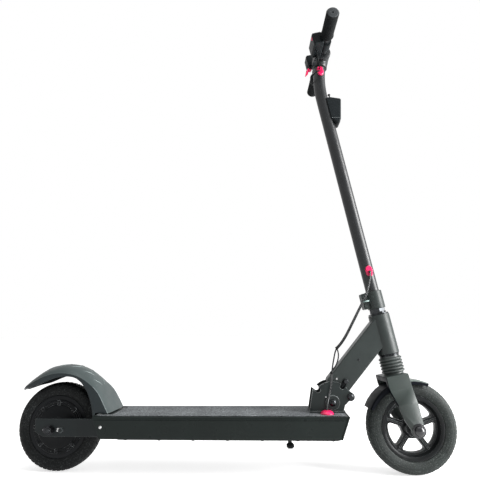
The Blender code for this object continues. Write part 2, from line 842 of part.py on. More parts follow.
def grip_tape():
    """Tape over the deck's top, notched for the fender's foot, the hinge and the grommet."""
    start = DECK_REAR + TAPE_MARGIN
    end = DECK_FRONT - CAP_T - TAPE_CAP_GAP
    half = DECK_WIDTH / 2 - TAPE_MARGIN
    low = DECK_TOP + SEAT
    outline = rounded_rectangle(start, end, -half, half, 2 * TAPE_MARGIN)
    tape = plate("grip_tape", outline, low, low + TAPE_T, "Z")
    foot_end = REAR_X + FENDER_FOOT_END
    foot_size = (2 * (foot_end - start), FENDER_FOOT_WIDTH + 2 * FENDER_DECK_GAP, PAST)
    hinge_start = PIVOT.x + HINGE_REAR_X - TAPE_GAP
    hinge_half = PLATE_Y + PLATE_T + HINGE_BASE_LIP + TAPE_GAP
    hinge_size = (2 * (end - hinge_start), 2 * hinge_half, PAST)
    across, aside = GROMMET_PLACE
    grommet_r = GROMMET_R + TAPE_GAP
    grommet_size = (2 * grommet_r, -aside, PAST)
    cut(
        tape,
        box("tape_foot_notch", foot_size, (start, 0, low)),
        box("tape_hinge_notch", hinge_size, (end, 0, low)),
        box("tape_grommet_notch", grommet_size, (PIVOT.x + across, aside / 2, low)),
        rod("tape_grommet_hole", grommet_r, PAST, (PIVOT.x + across, aside, low)),
    )
    part(tape, GRIT)


def bottom_cover():
    start = DECK_REAR + COVER_START
    end = DECK_FRONT - DECK_FRONT_SLANT - CAP_T - SEAT
    half = DECK_WIDTH / 2 - COVER_MARGIN
    high = DECK_BOTTOM - SEAT
    outline = rounded_rectangle(start, end, -half, half, 2 * COVER_MARGIN)
    cover = plate("bottom_cover", outline, high - COVER_T, high, "Z")
    inner, outer = kickstand_plate_sides()
    notch_start = inner - KICK_COVER_GAP
    size = (KICK_PLATE_L + 2 * KICK_COVER_GAP, outer - notch_start, PAST)
    cut(cover, box("cover_notch", size, (KICK_HINGE.x, (notch_start + outer) / 2, high)))
    part(cover, BLACK_PAINT)


def battery():
    length = DECK_LENGTH - BATTERY_START - BATTERY_TO_FRONT
    size = (length, DECK_WIDTH - 2 * BATTERY_SIDE_GAP, DECK_DEPTH - BATTERY_TOP_GAP)
    centre = (DECK_REAR + BATTERY_START + length / 2, 0, DECK_BOTTOM + SEAT + size[2] / 2)
    pack = round_edges(box("battery_pack", size, centre), BATTERY_CORNER_R, 2)
    part(pack, SHRINK_BLUE)


def controller():
    length, width, height = CONTROLLER_SIZE
    low = DECK_BOTTOM + SEAT
    pitch = width / CONTROLLER_FINS
    outline = [(-width / 2, low), (width / 2, low)]
    for fin in range(CONTROLLER_FINS):
        edge = width / 2 - fin * pitch
        outline += [
            (edge, low + height),
            (edge - pitch * 0.55, low + height),
            (edge - pitch * 0.55, low + height * 0.6),
            (edge - pitch, low + height * 0.6),
        ]
    outline.pop()
    outline[-1] = (-width / 2, low + height * 0.6)
    start = DECK_REAR + CONTROLLER_START
    part(plate("motor_controller", outline, start, start + length, "X"), STEEL)


# Rear wheel


def dropout(name, side):
    rear = REAR_X - DROPOUT_REACH
    top = AXLE_Z + DROPOUT_TOP
    low = AXLE_Z - DROPOUT_DEPTH
    outline = [
        (rear, top),
        (rear, AXLE_Z - DROPOUT_T),
        (rear + DROPOUT_CHAMFER, low),
        (REAR_X + DROPOUT_END, low),
        (REAR_X + DROPOUT_END, top),
    ]
    inner = side * DROPOUT_Y
    outer = side * (DROPOUT_Y + DROPOUT_T)
    obj = plate(name, outline, min(inner, outer), max(inner, outer), "Y")
    round_edges(obj, DROPOUT_T / 5)
    reach = DECK_WIDTH / 2 - DECK_WALL - SEAT - DROPOUT_Y - DROPOUT_T / 2
    spacer_y = side * (DROPOUT_Y + DROPOUT_T / 2 + reach / 2)
    spacer_x = REAR_X + DROPOUT_SCREW_X
    spacer_z = AXLE_Z + DROPOUT_SCREW_Z
    bolt_place = (REAR_X + DROPOUT_BOLT_X, outer, AXLE_Z)
    fuse(
        obj,
        rod(name + "_spacer", DROPOUT_SPACER_R, reach, (spacer_x, spacer_y, spacer_z), "Y"),
        rod(name + "_bolt", DROPOUT_BOLT_R, DROPOUT_BOLT_L, bolt_place, "Y", 6),
    )
    hole = rod(name + "_hole", AXLE_R + SEAT, 3 * PAST, (REAR_X, inner, AXLE_Z), "Y")
    part(cut(obj, hole), DARK_SLATE)


def axle_profile(radius, end, shoulder_radius, shoulder_from, shoulder_to):
    """Half an axle along its length: thin in the middle, with a shoulder, then thin to its end."""
    half = [
        (0, end),
        (radius * 0.85, end),
        (radius, end - radius * 0.2),
        (radius, shoulder_to),
        (shoulder_radius, shoulder_to),
        (shoulder_radius, shoulder_from),
        (radius, shoulder_from),
    ]
    return half + [(r, -along) for r, along in reversed(half)]


def rear_axle():
    shoulder_r = AXLE_R + AXLE_SHOULDER_T
    profile = axle_profile(
        AXLE_R, REAR_AXLE_END, shoulder_r, MOTOR_BOSS_Y + RUNNING, DROPOUT_Y - SEAT
    )
    part(turned("rear_axle", profile, (REAR_X, 0, AXLE_Z), "Y", 10, ring=False), STEEL)


def rear_nut(name, side):
    """A flange nut on a washer that keeps the axle from turning."""
    face = DROPOUT_Y + DROPOUT_T + SEAT
    centre_y = side * (face + REAR_WASHER_T / 2)
    nut_y = side * (face + REAR_WASHER_T * 0.75 + REAR_NUT_L / 2)
    obj = rod(name, REAR_WASHER_R, REAR_WASHER_T, (REAR_X, centre_y, AXLE_Z), "Y", 20)
    nut = rod(name + "_hexagon", REAR_NUT_R, REAR_NUT_L, (REAR_X, nut_y, AXLE_Z), "Y", 6)
    tab_size = (REAR_WASHER_R, REAR_WASHER_T, REAR_WASHER_R)
    tab = box(name + "_tab", tab_size, (REAR_X - REAR_WASHER_R, centre_y, AXLE_Z))
    hole = rod(name + "_hole", AXLE_R + SEAT, 4 * PAST, (REAR_X, centre_y, AXLE_Z), "Y")
    part(cut(fuse(obj, nut, tab), hole), DARK_STEEL)


def stator():
    """A laminated ring with a tooth for each winding."""
    half = STATOR_WIDTH / 2
    bore = AXLE_R + SEAT
    core = turned(
        "motor_stator",
        [(STATOR_R * 0.8, half), (STATOR_R * 0.8, -half), (bore, -half), (bore, half)],
        (REAR_X, 0, AXLE_Z),
        "Y",
        24,
    )
    teeth = []
    for tooth in range(STATOR_TEETH):
        angle = 2 * math.pi * tooth / STATOR_TEETH
        head = box(f"tooth_{tooth}", (STATOR_R * 0.3, STATOR_WIDTH, TOOTH_WIDTH), (0, 0, 0))
        spot = Matrix.Translation((REAR_X, 0, AXLE_Z)) @ Matrix.Rotation(angle, 4, "Y")
        head.matrix_basis = spot @ Matrix.Translation((STATOR_R * 0.85, 0, 0))
        teeth.append(head)
    part(fuse(core, *teeth), COPPER)


def rim_outside():
    """The rim's outer side, from its left flange to its right one."""
    return [
        (RIM_FLANGE_R, RIM_HALF),
        (RIM_FLANGE_R, RIM_SEAT_HALF),
        (RIM_SEAT_R, RIM_SEAT_HALF),
        (RIM_SEAT_R, -RIM_SEAT_HALF),
        (RIM_FLANGE_R, -RIM_SEAT_HALF),
        (RIM_FLANGE_R, -RIM_HALF),
    ]


def motor_shell():
    """The drum that carries the magnets and the tyre, with the left cover in one piece."""
    recess = RIM_HALF - MOTOR_RECESS
    cover_r = MOTOR_INNER_R + MOTOR_STEP
    profile = [
        (MOTOR_BORE_R, MOTOR_BOSS_Y),
        (MOTOR_BOSS_R, MOTOR_BOSS_Y),
        (MOTOR_BOSS_R + MOTOR_STEP / 2, RIM_HALF + MOTOR_STEP),
        (RIM_SEAT_R - 2 * MOTOR_STEP, RIM_HALF + MOTOR_STEP / 4),
        *rim_outside(),
        (cover_r, -RIM_HALF),
        (cover_r, -recess),
        (MOTOR_INNER_R, -recess),
        (MOTOR_INNER_R, recess),
        (MOTOR_BORE_R, recess),
    ]
    part(turned("motor_shell", profile, axis="Y"), DARK_STEEL, REAR_WHEEL)


def motor_cover():
    """The right cover: stepped rings, a boss and short radial lugs."""
    edge = MOTOR_INNER_R + MOTOR_STEP - SEAT
    inside = -(RIM_HALF - MOTOR_RECESS + SEAT)
    face = -RIM_HALF
    profile = [
        (MOTOR_BORE_R, inside),
        (edge, inside),
        (edge, face),
        (edge - 0.002, face - 0.0025),
        (edge - 0.006, face - 0.0025),
        (edge - 0.007, face - 0.0010),
        (COVER_RING_R + 0.001, face - 0.0010),
        (COVER_RING_R, face - 0.0045),
        (COVER_RING_R - 0.006, face - 0.0055),
        (MOTOR_BOSS_R + 0.002, face - 0.0065),
        (MOTOR_BOSS_R, -MOTOR_BOSS_Y),
        (MOTOR_BORE_R, -MOTOR_BOSS_Y),
    ]
    cover = turned("motor_cover_right", profile, axis="Y")
    lugs = []
    for lug in range(COVER_LUGS):
        angle = 2 * math.pi * lug / COVER_LUGS
        rib = box(f"cover_lug_{lug}", COVER_LUG_SIZE, (0, 0, 0))
        spot = Matrix.Translation((COVER_RING_R + 0.0035, face - 0.0015, 0))
        rib.matrix_basis = Matrix.Rotation(angle, 4, "Y") @ spot
        lugs.append(rib)
    part(fuse(cover, *lugs), DARK_STEEL, REAR_WHEEL)


def tyre(name, parent):
    """A tyre open at its beads."""
    bead = RIM_SEAT_R + SEAT
    half = TYRE_WIDTH / 2
    mouth = RIM_SEAT_HALF - SEAT
    lip = RIM_FLANGE_R + SEAT
    outer = [
        (bead, mouth),
        (lip, mouth),
        (lip + 0.007, half - 0.0008),
        (WHEEL_R - 0.010, half),
        (WHEEL_R - 0.0030, half - 0.0060),
        (WHEEL_R, half - 0.0160),
    ]
    inner = [
        (WHEEL_R - TYRE_WALL, half - 0.0130),
        (lip + 0.010, half - TYRE_WALL),
        (bead, mouth - TYRE_WALL),
    ]
    right = [(radius, -across) for radius, across in reversed(outer)]
    inside = [(radius, -across) for radius, across in reversed(inner)]
    part(turned(name, outer + right + inside + inner, axis="Y"), RUBBER, parent)


# Rear fender


def fender_section(angle, ridge, crease, edge, half):
    """Points across the fender: cheek, crease, crown, crease, cheek."""
    angle = math.radians(angle)
    across = (
        (-half, edge),
        (-half * 0.985, crease),
        (-half * 0.80, crease + (ridge - crease) * 0.50),
        (-half * 0.42, crease + (ridge - crease) * 0.88),
        (0, ridge),
    )
    row = [*across, *((-y, over) for y, over in reversed(across[:-1]))]
    centre = Vector((REAR_X, 0, AXLE_Z)) - FENDER_PIN
    ahead = Vector((math.cos(angle), 0, math.sin(angle)))
    return [centre + ahead * (WHEEL_R + over) + Vector((0, y, 0)) for y, over in row]


def rear_fender():
    stations = through(FENDER_STATIONS, 2)
    sections = [fender_section(*station) for station in stations]
    obj = shell("rear_fender", sections, FENDER_T)
    floor = DECK_TOP + SEAT + TAPE_T + FENDER_DECK_GAP - FENDER_PIN.z
    behind = FENDER_PIN_X - WHEEL_R - DECK_TYRE_GAP / 2
    lift = behind * math.tan(math.radians(FENDER_TRAVEL))
    rear = behind + DECK_TYRE_GAP + FENDER_CHEEK_BACK
    tail = AXLE_Z + DROPOUT_TOP + FENDER_DECK_GAP + rear * lift / behind - FENDER_PIN.z
    deck_room = [
        (0, floor),
        (-behind, floor + lift),
        (-behind, tail),
        (-rear, tail),
        (-rear, floor - DECK_DEPTH - PAST),
        (DECK_DEPTH + PAST, floor - DECK_DEPTH - PAST),
        (DECK_DEPTH + PAST, floor),
    ]
    cut(obj, plate("fender_deck_cut", deck_room, -DECK_WIDTH, DECK_WIDTH, "Y"))
    for side in (-1, 1):
        boss = rod(
            f"fender_boss_{side}",
            2 * FENDER_PIN_R,
            FENDER_FOOT_WIDTH / 2 - FENDER_BOSS_Y - SEAT,
            (0, side * (FENDER_FOOT_WIDTH / 2 + FENDER_BOSS_Y) / 2, 0),
            "Y",
            16,
        )
        fuse(obj, boss)
    cut(obj, rod("fender_pin_hole", FENDER_PIN_R + RUNNING, 2 * FENDER_FOOT_WIDTH, (0, 0, 0), "Y"))
    part(obj, CHARCOAL, FENDER)


def fender_bracket():
    """Two lugs on a foot plate that the deck's top carries, with the pin pressed into them."""
    x = FENDER_PIN.x
    width = 2 * FENDER_LUG_Y + 2 * FENDER_LUG_T
    middle = DECK_TOP + SEAT + FENDER_PLATE_T / 2
    foot_size = (FENDER_PLATE_L, width, FENDER_PLATE_T)
    foot = box("fender_bracket", foot_size, (x + FENDER_PIN_R / 2, 0, middle))
    lug = [
        (x - FENDER_PLATE_L * 0.36, middle),
        (x + FENDER_PLATE_L * 0.45, middle),
        *arc((x, FENDER_PIN.z), FENDER_PIN_R * 5 / 3, 20, 160, 6),
    ]
    for side in (-1, 1):
        inner = side * FENDER_LUG_Y
        outer = side * (FENDER_LUG_Y + FENDER_LUG_T)
        name = f"fender_lug_{side}"
        fuse(foot, plate(name, lug, min(inner, outer), max(inner, outer), "Y"))
    length = FENDER_FOOT_WIDTH - 2 * FENDER_PIN_R
    fuse(foot, rod("fender_pin", FENDER_PIN_R, length, FENDER_PIN, "Y"))
    part(foot, DARK_STEEL)


# Kickstand


def kickstand_plate_sides():
    """The bracket's plate across the deck, from inside the cover's edge to the channel's lip."""
    return KICK_Y - KICK_PLATE_REACH, DECK_WIDTH / 2 - KICK_PLATE_EDGE


def kickstand():
    """A bracket under the channel's lip, with a leg that swings between its ears."""
    x, y, z = KICK_HINGE
    inner, outer = kickstand_plate_sides()
    middle = DECK_BOTTOM - SEAT - KICK_PLATE_T / 2
    size = (KICK_PLATE_L, outer - inner, KICK_PLATE_T)
    foot = box("kickstand_bracket", size, (x, (inner + outer) / 2, middle))
    ear = [
        (y - KICK_EAR_HALF, middle),
        (y + KICK_EAR_HALF, middle),
        *arc((y, z), KICK_EAR_R, 0, -180, 6),
    ]
    for side in (-1, 1):
        near = x + side * KICK_EAR_IN
        low, high = sorted((near, near + side * KICK_EAR_T))
        fuse(foot, plate(f"kickstand_ear_{side}", ear, low, high, "X"))
    pin_length = 2 * KICK_EAR_IN + KICK_EAR_T
    fuse(foot, rod("kickstand_pin", KICK_PIN_R, pin_length, (x, y, z), "X"))
    part(foot, BLACK_PAINT)

    along = Matrix.Rotation(math.radians(KICK_SAG), 4, "X")
    hub = rod("kickstand_leg", KICK_HUB_R, 2 * (KICK_EAR_IN - RUNNING), (0, 0, 0), "X")
    end = KICK_LENGTH - KICK_FOOT_L / 2
    leg = rod("kickstand_shaft", KICK_R, end, (0, -end / 2, 0), "Y")
    leg.matrix_basis = along @ leg.matrix_basis
    bore = rod("kickstand_bore", KICK_PIN_R + RUNNING, 4 * KICK_EAR_IN, (0, 0, 0), "X")
    part(cut(fuse(hub, leg), bore), BLACK_PAINT, KICK)

    foot_size = (KICK_FOOT_WIDTH, KICK_FOOT_L, KICK_FOOT_HEIGHT)
    rubber = box("kickstand_foot", foot_size, (0, -KICK_LENGTH, 0))
    rubber.matrix_basis = along @ rubber.matrix_basis
    reach = KICK_LENGTH - KICK_FOOT_L / 2 + SEAT
    socket = rod("kickstand_socket", KICK_R + SEAT, KICK_FOOT_L, (0, KICK_FOOT_L / 2 - reach, 0), "Y")
    socket.matrix_basis = along @ socket.matrix_basis
    part(cut(round_edges(rubber, KICK_FOOT_HEIGHT / 3), socket), RUBBER, KICK)


# Fold hinge


def turn_about_pivot(angle, radius, across=0.0):
    """A point at an angle about the pivot, in degrees, with an offset to the clockwise side."""
    angle = math.radians(angle)
    return (
        radius * math.cos(angle) + across * math.sin(angle),
        radius * math.sin(angle) - across * math.cos(angle),
    )


def notch(angle):
    """A slot open at the plate's edge, from its clockwise lip to the other."""
    centre = turn_about_pivot(angle, LOCK_IN)
    return arc(centre, NOTCH_R, angle - 90, angle - 270, 5)


def side_plate_outline():
    base = -PIVOT_OVER_DECK + SEAT
    mouth = math.degrees(math.asin(NOTCH_R / PLATE_ARC_R))
    rear = LOCK_ANGLE + FOLD_ANGLE
    return [
        (HINGE_REAR_X, base + HINGE_BASE_T / 2),
        (HINGE_FRONT_X - 0.0034, base + HINGE_BASE_T / 2),
        (HINGE_FRONT_X - 0.0034, base + HINGE_BASE_T + 0.002),
        (HINGE_FRONT_X, -0.0063),
        (STOP_X - 0.004, STOP_Z - 0.0098),
        *arc((STOP_X, STOP_Z), STOP_EAR_R, -80, 60, 5),
        (STOP_X - 0.004, STOP_Z + 0.0150),
        turn_about_pivot(LOCK_ANGLE - mouth - 2, PLATE_ARC_R),
        turn_about_pivot(LOCK_ANGLE - mouth, PLATE_ARC_R),
        *notch(LOCK_ANGLE),
        *arc((0, 0), PLATE_ARC_R, LOCK_ANGLE + mouth, rear - mouth, 6),
        *notch(rear),
        turn_about_pivot(rear + mouth, PLATE_ARC_R),
        turn_about_pivot(rear, NOTCH_WALL_R, -NOTCH_R - NOTCH_WALL),
    ]


def hinge_bracket():
    """A base with two notched side plates, in one casting."""
    base_z = DECK_TOP + SEAT + HINGE_BASE_T / 2
    width = 2 * (PLATE_Y + PLATE_T + HINGE_BASE_LIP)
    length = HINGE_FRONT_X - HINGE_REAR_X
    middle = PIVOT.x + (HINGE_FRONT_X + HINGE_REAR_X) / 2
    obj = box("hinge_bracket", (length, width, HINGE_BASE_T), (middle, 0, base_z))
    outline = [(PIVOT.x + x, PIVOT.z + z) for x, z in side_plate_outline()]
    for side in (-1, 1):
        low, high = sorted((side * PLATE_Y, side * (PLATE_Y + PLATE_T)))
        cheek = plate(f"hinge_cheek_{side}", outline, low, high, "Y")
        boss_y = side * (PLATE_Y + PLATE_T)
        boss = rod(
            f"hinge_boss_{side}",
            HINGE_BOSS_R,
            2 * HINGE_BOSS_T,
            (PIVOT.x, boss_y, PIVOT.z),
            "Y",
            18,
        )
        fuse(obj, cheek, boss)
    stop = (PIVOT.x + STOP_X, 0, PIVOT.z + STOP_Z)
    cut(
        obj,
        rod("pivot_bolt_hole", FOLD_BOLT_R + SEAT, 2 * width, PIVOT, "Y", 14),
        rod("stop_bolt_hole", FOLD_BOLT_R + SEAT, 2 * width, stop, "Y", 14),
    )
    part(obj, DARK_SLATE)


def bolt_profile(sleeve_radius, sleeve_half, face):
    """Half a bolt along its length: sleeve, shank and domed head."""
    top = face + FOLD_HEAD_T
    half = [
        (0, top),
        (FOLD_HEAD_R * 0.55, top),
        (FOLD_HEAD_R * 0.9, top - FOLD_HEAD_T * 0.35),
        (FOLD_HEAD_R, face + FOLD_HEAD_T * 0.3),
        (FOLD_HEAD_R, face),
        (FOLD_BOLT_R, face),
    ]
    if sleeve_radius > FOLD_BOLT_R:
        half += [(FOLD_BOLT_R, sleeve_half), (sleeve_radius, sleeve_half)]
    return half + [(r, -along) for r, along in reversed(half)]


def hinge_bolts():
    face = PLATE_Y + PLATE_T + SEAT
    pivot = bolt_profile(FOLD_BOLT_R, 0, face + HINGE_BOSS_T)
    part(turned("pivot_bolt", pivot, PIVOT, "Y", 12, ring=False), DARK_STEEL)
    stop = PIVOT + Vector((STOP_X, 0, STOP_Z))
    seat = (ARM.inverted() @ stop).z
    lower_face = ARM_OFFSET - ARM_HEIGHT / 2
    sleeve = lower_face - seat - SEAT
    profile = bolt_profile(sleeve, PLATE_Y - SEAT, face)
    part(turned("stop_bolt", profile, stop, "Y", 12, ring=False), DARK_STEEL)


def lock_pin():
    length = 2 * (PLATE_Y + PLATE_T + LOCK_OVERHANG)
    pin = rod("lock_pin", LOCK_R, length, (LOCK_OUT, 0, 0), "Y", 16)
    part(round_edges(pin, 0.001), STEEL, LOCK)


# Folding arm


def arm_reach(height, inset):
    """How far along the arm a line at this height meets a plane behind the steering axis."""
    low = HEAD_IN_ARM @ Vector((-inset, 0, 0))
    high = HEAD_IN_ARM @ Vector((-inset, 0, 1))
    return low.x + (high.x - low.x) * (height - low.z) / (high.z - low.z)


def fold_arm():
    """A box-section arm with a round boss at the pivot and the head tube welded to its end."""
    upper = ARM_OFFSET + ARM_HEIGHT / 2
    lower = ARM_OFFSET - ARM_HEIGHT / 2
    inset = HEAD_TUBE_R / 2
    outline = [
        (arm_reach(upper, inset), upper),
        (ARM_HEEL, upper),
        (ARM_HEEL - 0.014, upper - 0.016),
        *arc((0, 0), ARM_BOSS_R, 135, 270, 7),
        (ARM_HEEL, lower),
        (arm_reach(lower, inset), lower),
    ]
    half = ARM_WIDTH / 2
    obj = round_edges(plate("fold_arm", outline, -half, half, "Y"), 0.003, 2)
    middle = (HEAD_LOW + HEAD_TOP) / 2
    head = rod("head_tube", HEAD_TUBE_R, HEAD_TUBE_L, (0, 0, middle), "Z", 24)
    head.matrix_basis = HEAD_IN_ARM @ head.matrix_basis
    bore = rod("head_bore", STEERER_R + 0.002, 2 * HEAD_TUBE_L, (0, 0, middle))
    bore.matrix_basis = HEAD_IN_ARM @ bore.matrix_basis
    slot = plate(
        "lock_slot",
        stadium(2 * (LOCK_R + RUNNING), LOCK_OUT - LOCK_IN + 2 * (LOCK_R + RUNNING)),
        -ARM_WIDTH,
        ARM_WIDTH,
        "Y",
    )
    aim = Matrix.Rotation(-LOCK_TILT, 4, "Y")
    centre = Matrix.Translation(((LOCK_OUT + LOCK_IN) / 2, 0, 0))
    slot.matrix_basis = aim @ centre @ Matrix.Rotation(math.pi / 2, 4, "Y") @ slot.matrix_basis
    fuse(obj, head)
    cut(obj, bore, slot)
    cut(obj, rod("arm_pivot_hole", FOLD_BOLT_R + RUNNING, 2 * ARM_WIDTH, (0, 0, 0), "Y", 20))
    part(obj, DARK_SLATE, FOLD)


def headset_cups():
    for name, low, thick in (
        ("headset_cup_bottom", CUP_LOW, CUP_LOW_T),
        ("headset_cup_top", CUP_TOP, CUP_TOP_T),
    ):
        bore = STEERER_R + RUNNING
        edge = HEAD_TUBE_R - 0.001
        high = low + thick
        profile = [
            (bore, high),
            (edge - 0.001, high),
            (edge, high - 0.001),
            (edge, low + 0.001),
            (edge - 0.001, low),
            (bore, low),
        ]
        part(turned(name, profile, sides=16), STEEL, HEAD_FRAME)


# Steering


def steerer():
    """The tube in the head bearings, with the crown race below and the spring's stop inside."""
    profile = [
        (0.006, STEERER_TOP),
        (STEERER_R, STEERER_TOP),
        (STEERER_R, FLANGE_LOW + FLANGE_T),
        (STEERER_R + 0.0065, FLANGE_LOW + FLANGE_T),
        (STEERER_R + 0.0065, FLANGE_LOW),
        (STEERER_BORE_R, FLANGE_LOW),
        (STEERER_BORE_R, SPRING_TOP + SEAT),
        (0.006, SPRING_TOP + SEAT),
    ]
    part(turned("steerer_tube", profile, sides=16), STEEL, STEER)


def headset_nut():
    high = NUT_LOW + NUT_T
    obj = rod("headset_nut", NUT_R, NUT_T, (0, 0, (NUT_LOW + high) / 2), "Z", 8)
    collar = rod("nut_collar", NUT_R * 1.02, NUT_T * 0.3, (0, 0, NUT_LOW + NUT_T * 0.15), "Z", 24)
    bore = rod("nut_bore", STEERER_R + SEAT, 3 * NUT_T, (0, 0, NUT_LOW), "Z", 24)
    part(cut(fuse(obj, collar), bore), STEEL, STEER)


def stem_clamp():
    """A split collar round the steerer and the stem, drawn in by two bolts through its ears."""
    top = CLAMP_LOW + CLAMP_L
    profile = [
        (STEM_R + SEAT, top),
        (CLAMP_R - 0.001, top),
        (CLAMP_R, top - 0.001),
        (CLAMP_R, CLAMP_LOW + 0.001),
        (CLAMP_R - 0.001, CLAMP_LOW),
        (STEERER_R + SEAT, CLAMP_LOW),
        (STEERER_R + SEAT, STEERER_TOP + SEAT),
        (STEM_R + SEAT, STEERER_TOP + SEAT),
    ]
    obj = turned("stem_clamp", profile, sides=16)
    ear_low = CLAMP_LOW + CLAMP_EAR_FOOT
    ear_high = top - CLAMP_EAR_FOOT / 2
    far = -(CLAMP_R + CLAMP_EAR)
    near = -(STEERER_R + 0.0015)
    outline = rounded_rectangle(far, near + 0.0001, ear_low, ear_high, 0.003)
    ear_half = CLAMP_EAR_HALF
    fuse(obj, plate("clamp_ears", outline, -ear_half, ear_half, "Y"))
    slit = (2 * (CLAMP_R + CLAMP_EAR), CLAMP_SLIT, 2 * CLAMP_L)
    cut(obj, box("clamp_slit", slit, (-CLAMP_R - CLAMP_EAR - 0.008, 0, CLAMP_LOW)))
    for level in (ear_low + 0.009, ear_high - 0.009):
        place = (far + 0.0055, 0, level)
        name = f"clamp_bolt_{level:.3f}"
        fuse(obj, rod(name, 0.0028, 2 * ear_half, place, "Y", 8))
        head = (place[0], -ear_half - 0.0015, level)
        fuse(obj, rod(name + "_head", 0.0046, 0.0045, head, "Y", 10))
        nut = (place[0], ear_half + 0.0010, level)
        fuse(obj, rod(name + "_nut", 0.0050, 0.0035, nut, "Y", 6))
    part(obj, DARK_SLATE, STEER)


def stem_tube():
    obj = tube("stem_tube", stem_route(STEM_LOW, STEM_TOP), STEM_R, 6)
    cut(obj, tube("stem_bore", stem_route(STEM_LOW - PAST, BAR_UP), STEM_R - STEM_WALL, 3))
    for name, up in (("stem_hole_low", LOW_GROMMET.z), ("stem_hole_top", TOP_GROMMET.z)):
        centre = stem_point(up)
        outline = [(centre.x + x, up + z) for x, z in stadium(0.007, 0.018, 3)]
        cut(obj, plate(name, outline, -STEM_R - PAST, 0, "Y"))
    part(obj, BLACK_PAINT, STEER)


def stem_grommets():
    for name, place in (("stem_grommet_low", LOW_GROMMET), ("stem_grommet_top", TOP_GROMMET)):
        outline = [(place.x + x, place.z + z) for x, z in stadium(GROMMET_W, GROMMET_H)]
        face = -(STEM_R + GROMMET_T)
        obj = plate(name, outline, face, -STEM_R * 0.7, "Y")
        near = place.z - GROMMET_H
        far = place.z + GROMMET_H
        room = tube(name + "_room", stem_route(near, far), STEM_R + SEAT, 6)
        part(cut(round_edges(obj, 0.0015), room), CRIMSON, STEER)


def bar_clamp():
    """A tee: a barrel round the bar on a collar round the stem's top."""
    obj = rod("bar_clamp", BAR_CLAMP_R, 2 * BAR_CLAMP_HALF, BAR, "Y", 24)
    round_edges(obj, 0.004)
    low = BAR_UP - STEM_COLLAR_L
    fuse(obj, tube("stem_collar", stem_route(low, BAR_UP), STEM_COLLAR_R, 6))
    cut(
        obj,
        tube("collar_bore", stem_route(low - PAST, STEM_TOP + SEAT), STEM_R + SEAT, 6),
        rod("clamp_bar_bore", BAR_R + SEAT, 4 * BAR_CLAMP_HALF, BAR, "Y", 16),
    )
    part(obj, BLACK_PAINT, STEER)


def handlebar():
    obj = rod("handlebar_tube", BAR_R, 2 * BAR_ENDS, BAR, "Y", 16)
    cut(obj, rod("handlebar_bore", BAR_R - BAR_WALL, 3 * BAR_HALF, BAR, "Y", 12))
    part(obj, BLACK_PAINT, STEER)


def grip(name, side):
    """A ribbed sleeve with a closed end, over the bar's end."""
    bore = BAR_R + SEAT
    inner = GRIP_START
    profile = [(0.0025, BAR_HALF), (GRIP_R - 0.003, BAR_HALF), (GRIP_R, BAR_HALF - 0.003)]
    start = BAR_HALF - 0.010
    pitch = (start - inner - 0.010) / GRIP_RIBS
    for rib in range(GRIP_RIBS):
        at = start - rib * pitch
        profile += [(GRIP_R, at), (GRIP_R - GRIP_RIB_H, at - pitch * 0.4)]
    profile += [
        (GRIP_R + 0.001, inner + 0.004),
        (GRIP_R, inner),
        (bore, inner),
        (bore, BAR_HALF - GRIP_END_T),
        (0.0025, BAR_HALF - GRIP_END_T),
    ]
    if side < 0:
        profile = [(radius, -along) for radius, along in reversed(profile)]
    part(turned(name, profile, BAR, "Y", 14), RUBBER, STEER)


def pod_ring(name, y):
    return rod(name, POD_RING_R, POD_RING_L, BAR + Vector((0, y, 0)), "Y", 16)


def pod_bore(name, y):
    return rod(name, BAR_R + SEAT, 2 * POD_RING_L, BAR + Vector((0, y, 0)), "Y", 16)


def lever_mount(obj, pin, top):
    """Two cheeks that hang from a pod to a lever's pin."""
    half = LEVER_HUB_HALF + RUNNING
    for side in (-1, 1):
        low, high = sorted((pin.y + side * half, pin.y + side * (half + CHEEK_T)))
        outline = [
            (BAR.x + pin.x + LEVER_HUB_R, BAR.z + top),
            (BAR.x + pin.x - LEVER_HUB_R, BAR.z + top),
            *arc((BAR.x + pin.x, BAR.z + pin.z), LEVER_HUB_R * 0.8, 180, 360, 4),
        ]
        fuse(obj, plate(f"{obj.name}_cheek_{side}", outline, low, high, "Y"))
    length = 2 * half + CHEEK_T
    fuse(obj, rod(obj.name + "_pin", LEVER_PIN_R, length, BAR + pin, "Y", 12))


def lever(name, angle, paddle, finish, parent):
    """A hub with a thumb paddle, which leaves it at an angle in degrees."""
    obj = rod(name, LEVER_HUB_R, 2 * LEVER_HUB_HALF, (0, 0, 0), "Y", 16)
    low, high = paddle
    neck = [
        (0, -LEVER_T * 0.4),
        (LEVER_LENGTH * 0.6, -LEVER_T * 0.4),
        (LEVER_LENGTH * 0.6, LEVER_T * 0.4),
        (0, LEVER_T * 0.4),
    ]
    wide = [
        (LEVER_LENGTH * 0.42, -LEVER_T / 2),
        (LEVER_LENGTH * 0.7, -LEVER_T / 2),
        (LEVER_LENGTH, LEVER_T * 0.1),
        (LEVER_LENGTH, LEVER_T * 0.8),
        (LEVER_LENGTH * 0.7, LEVER_T / 2),
        (LEVER_LENGTH * 0.42, LEVER_T / 2),
    ]
    aim = Matrix.Rotation(-math.radians(angle), 4, "Y")
    stalk = plate(name + "_stalk", neck, -LEVER_HUB_HALF * 0.8, LEVER_HUB_HALF * 0.8, "Y")
    stalk.matrix_basis = aim @ stalk.matrix_basis
    thumb = round_edges(plate(name + "_thumb", wide, low, high, "Y"), 0.0008)
    thumb.matrix_basis = aim @ thumb.matrix_basis
    hole = rod(name + "_hole", LEVER_PIN_R + RUNNING, 3 * LEVER_HUB_HALF, (0, 0, 0), "Y", 12)
    part(cut(fuse(obj, stalk, thumb), hole), finish, parent)


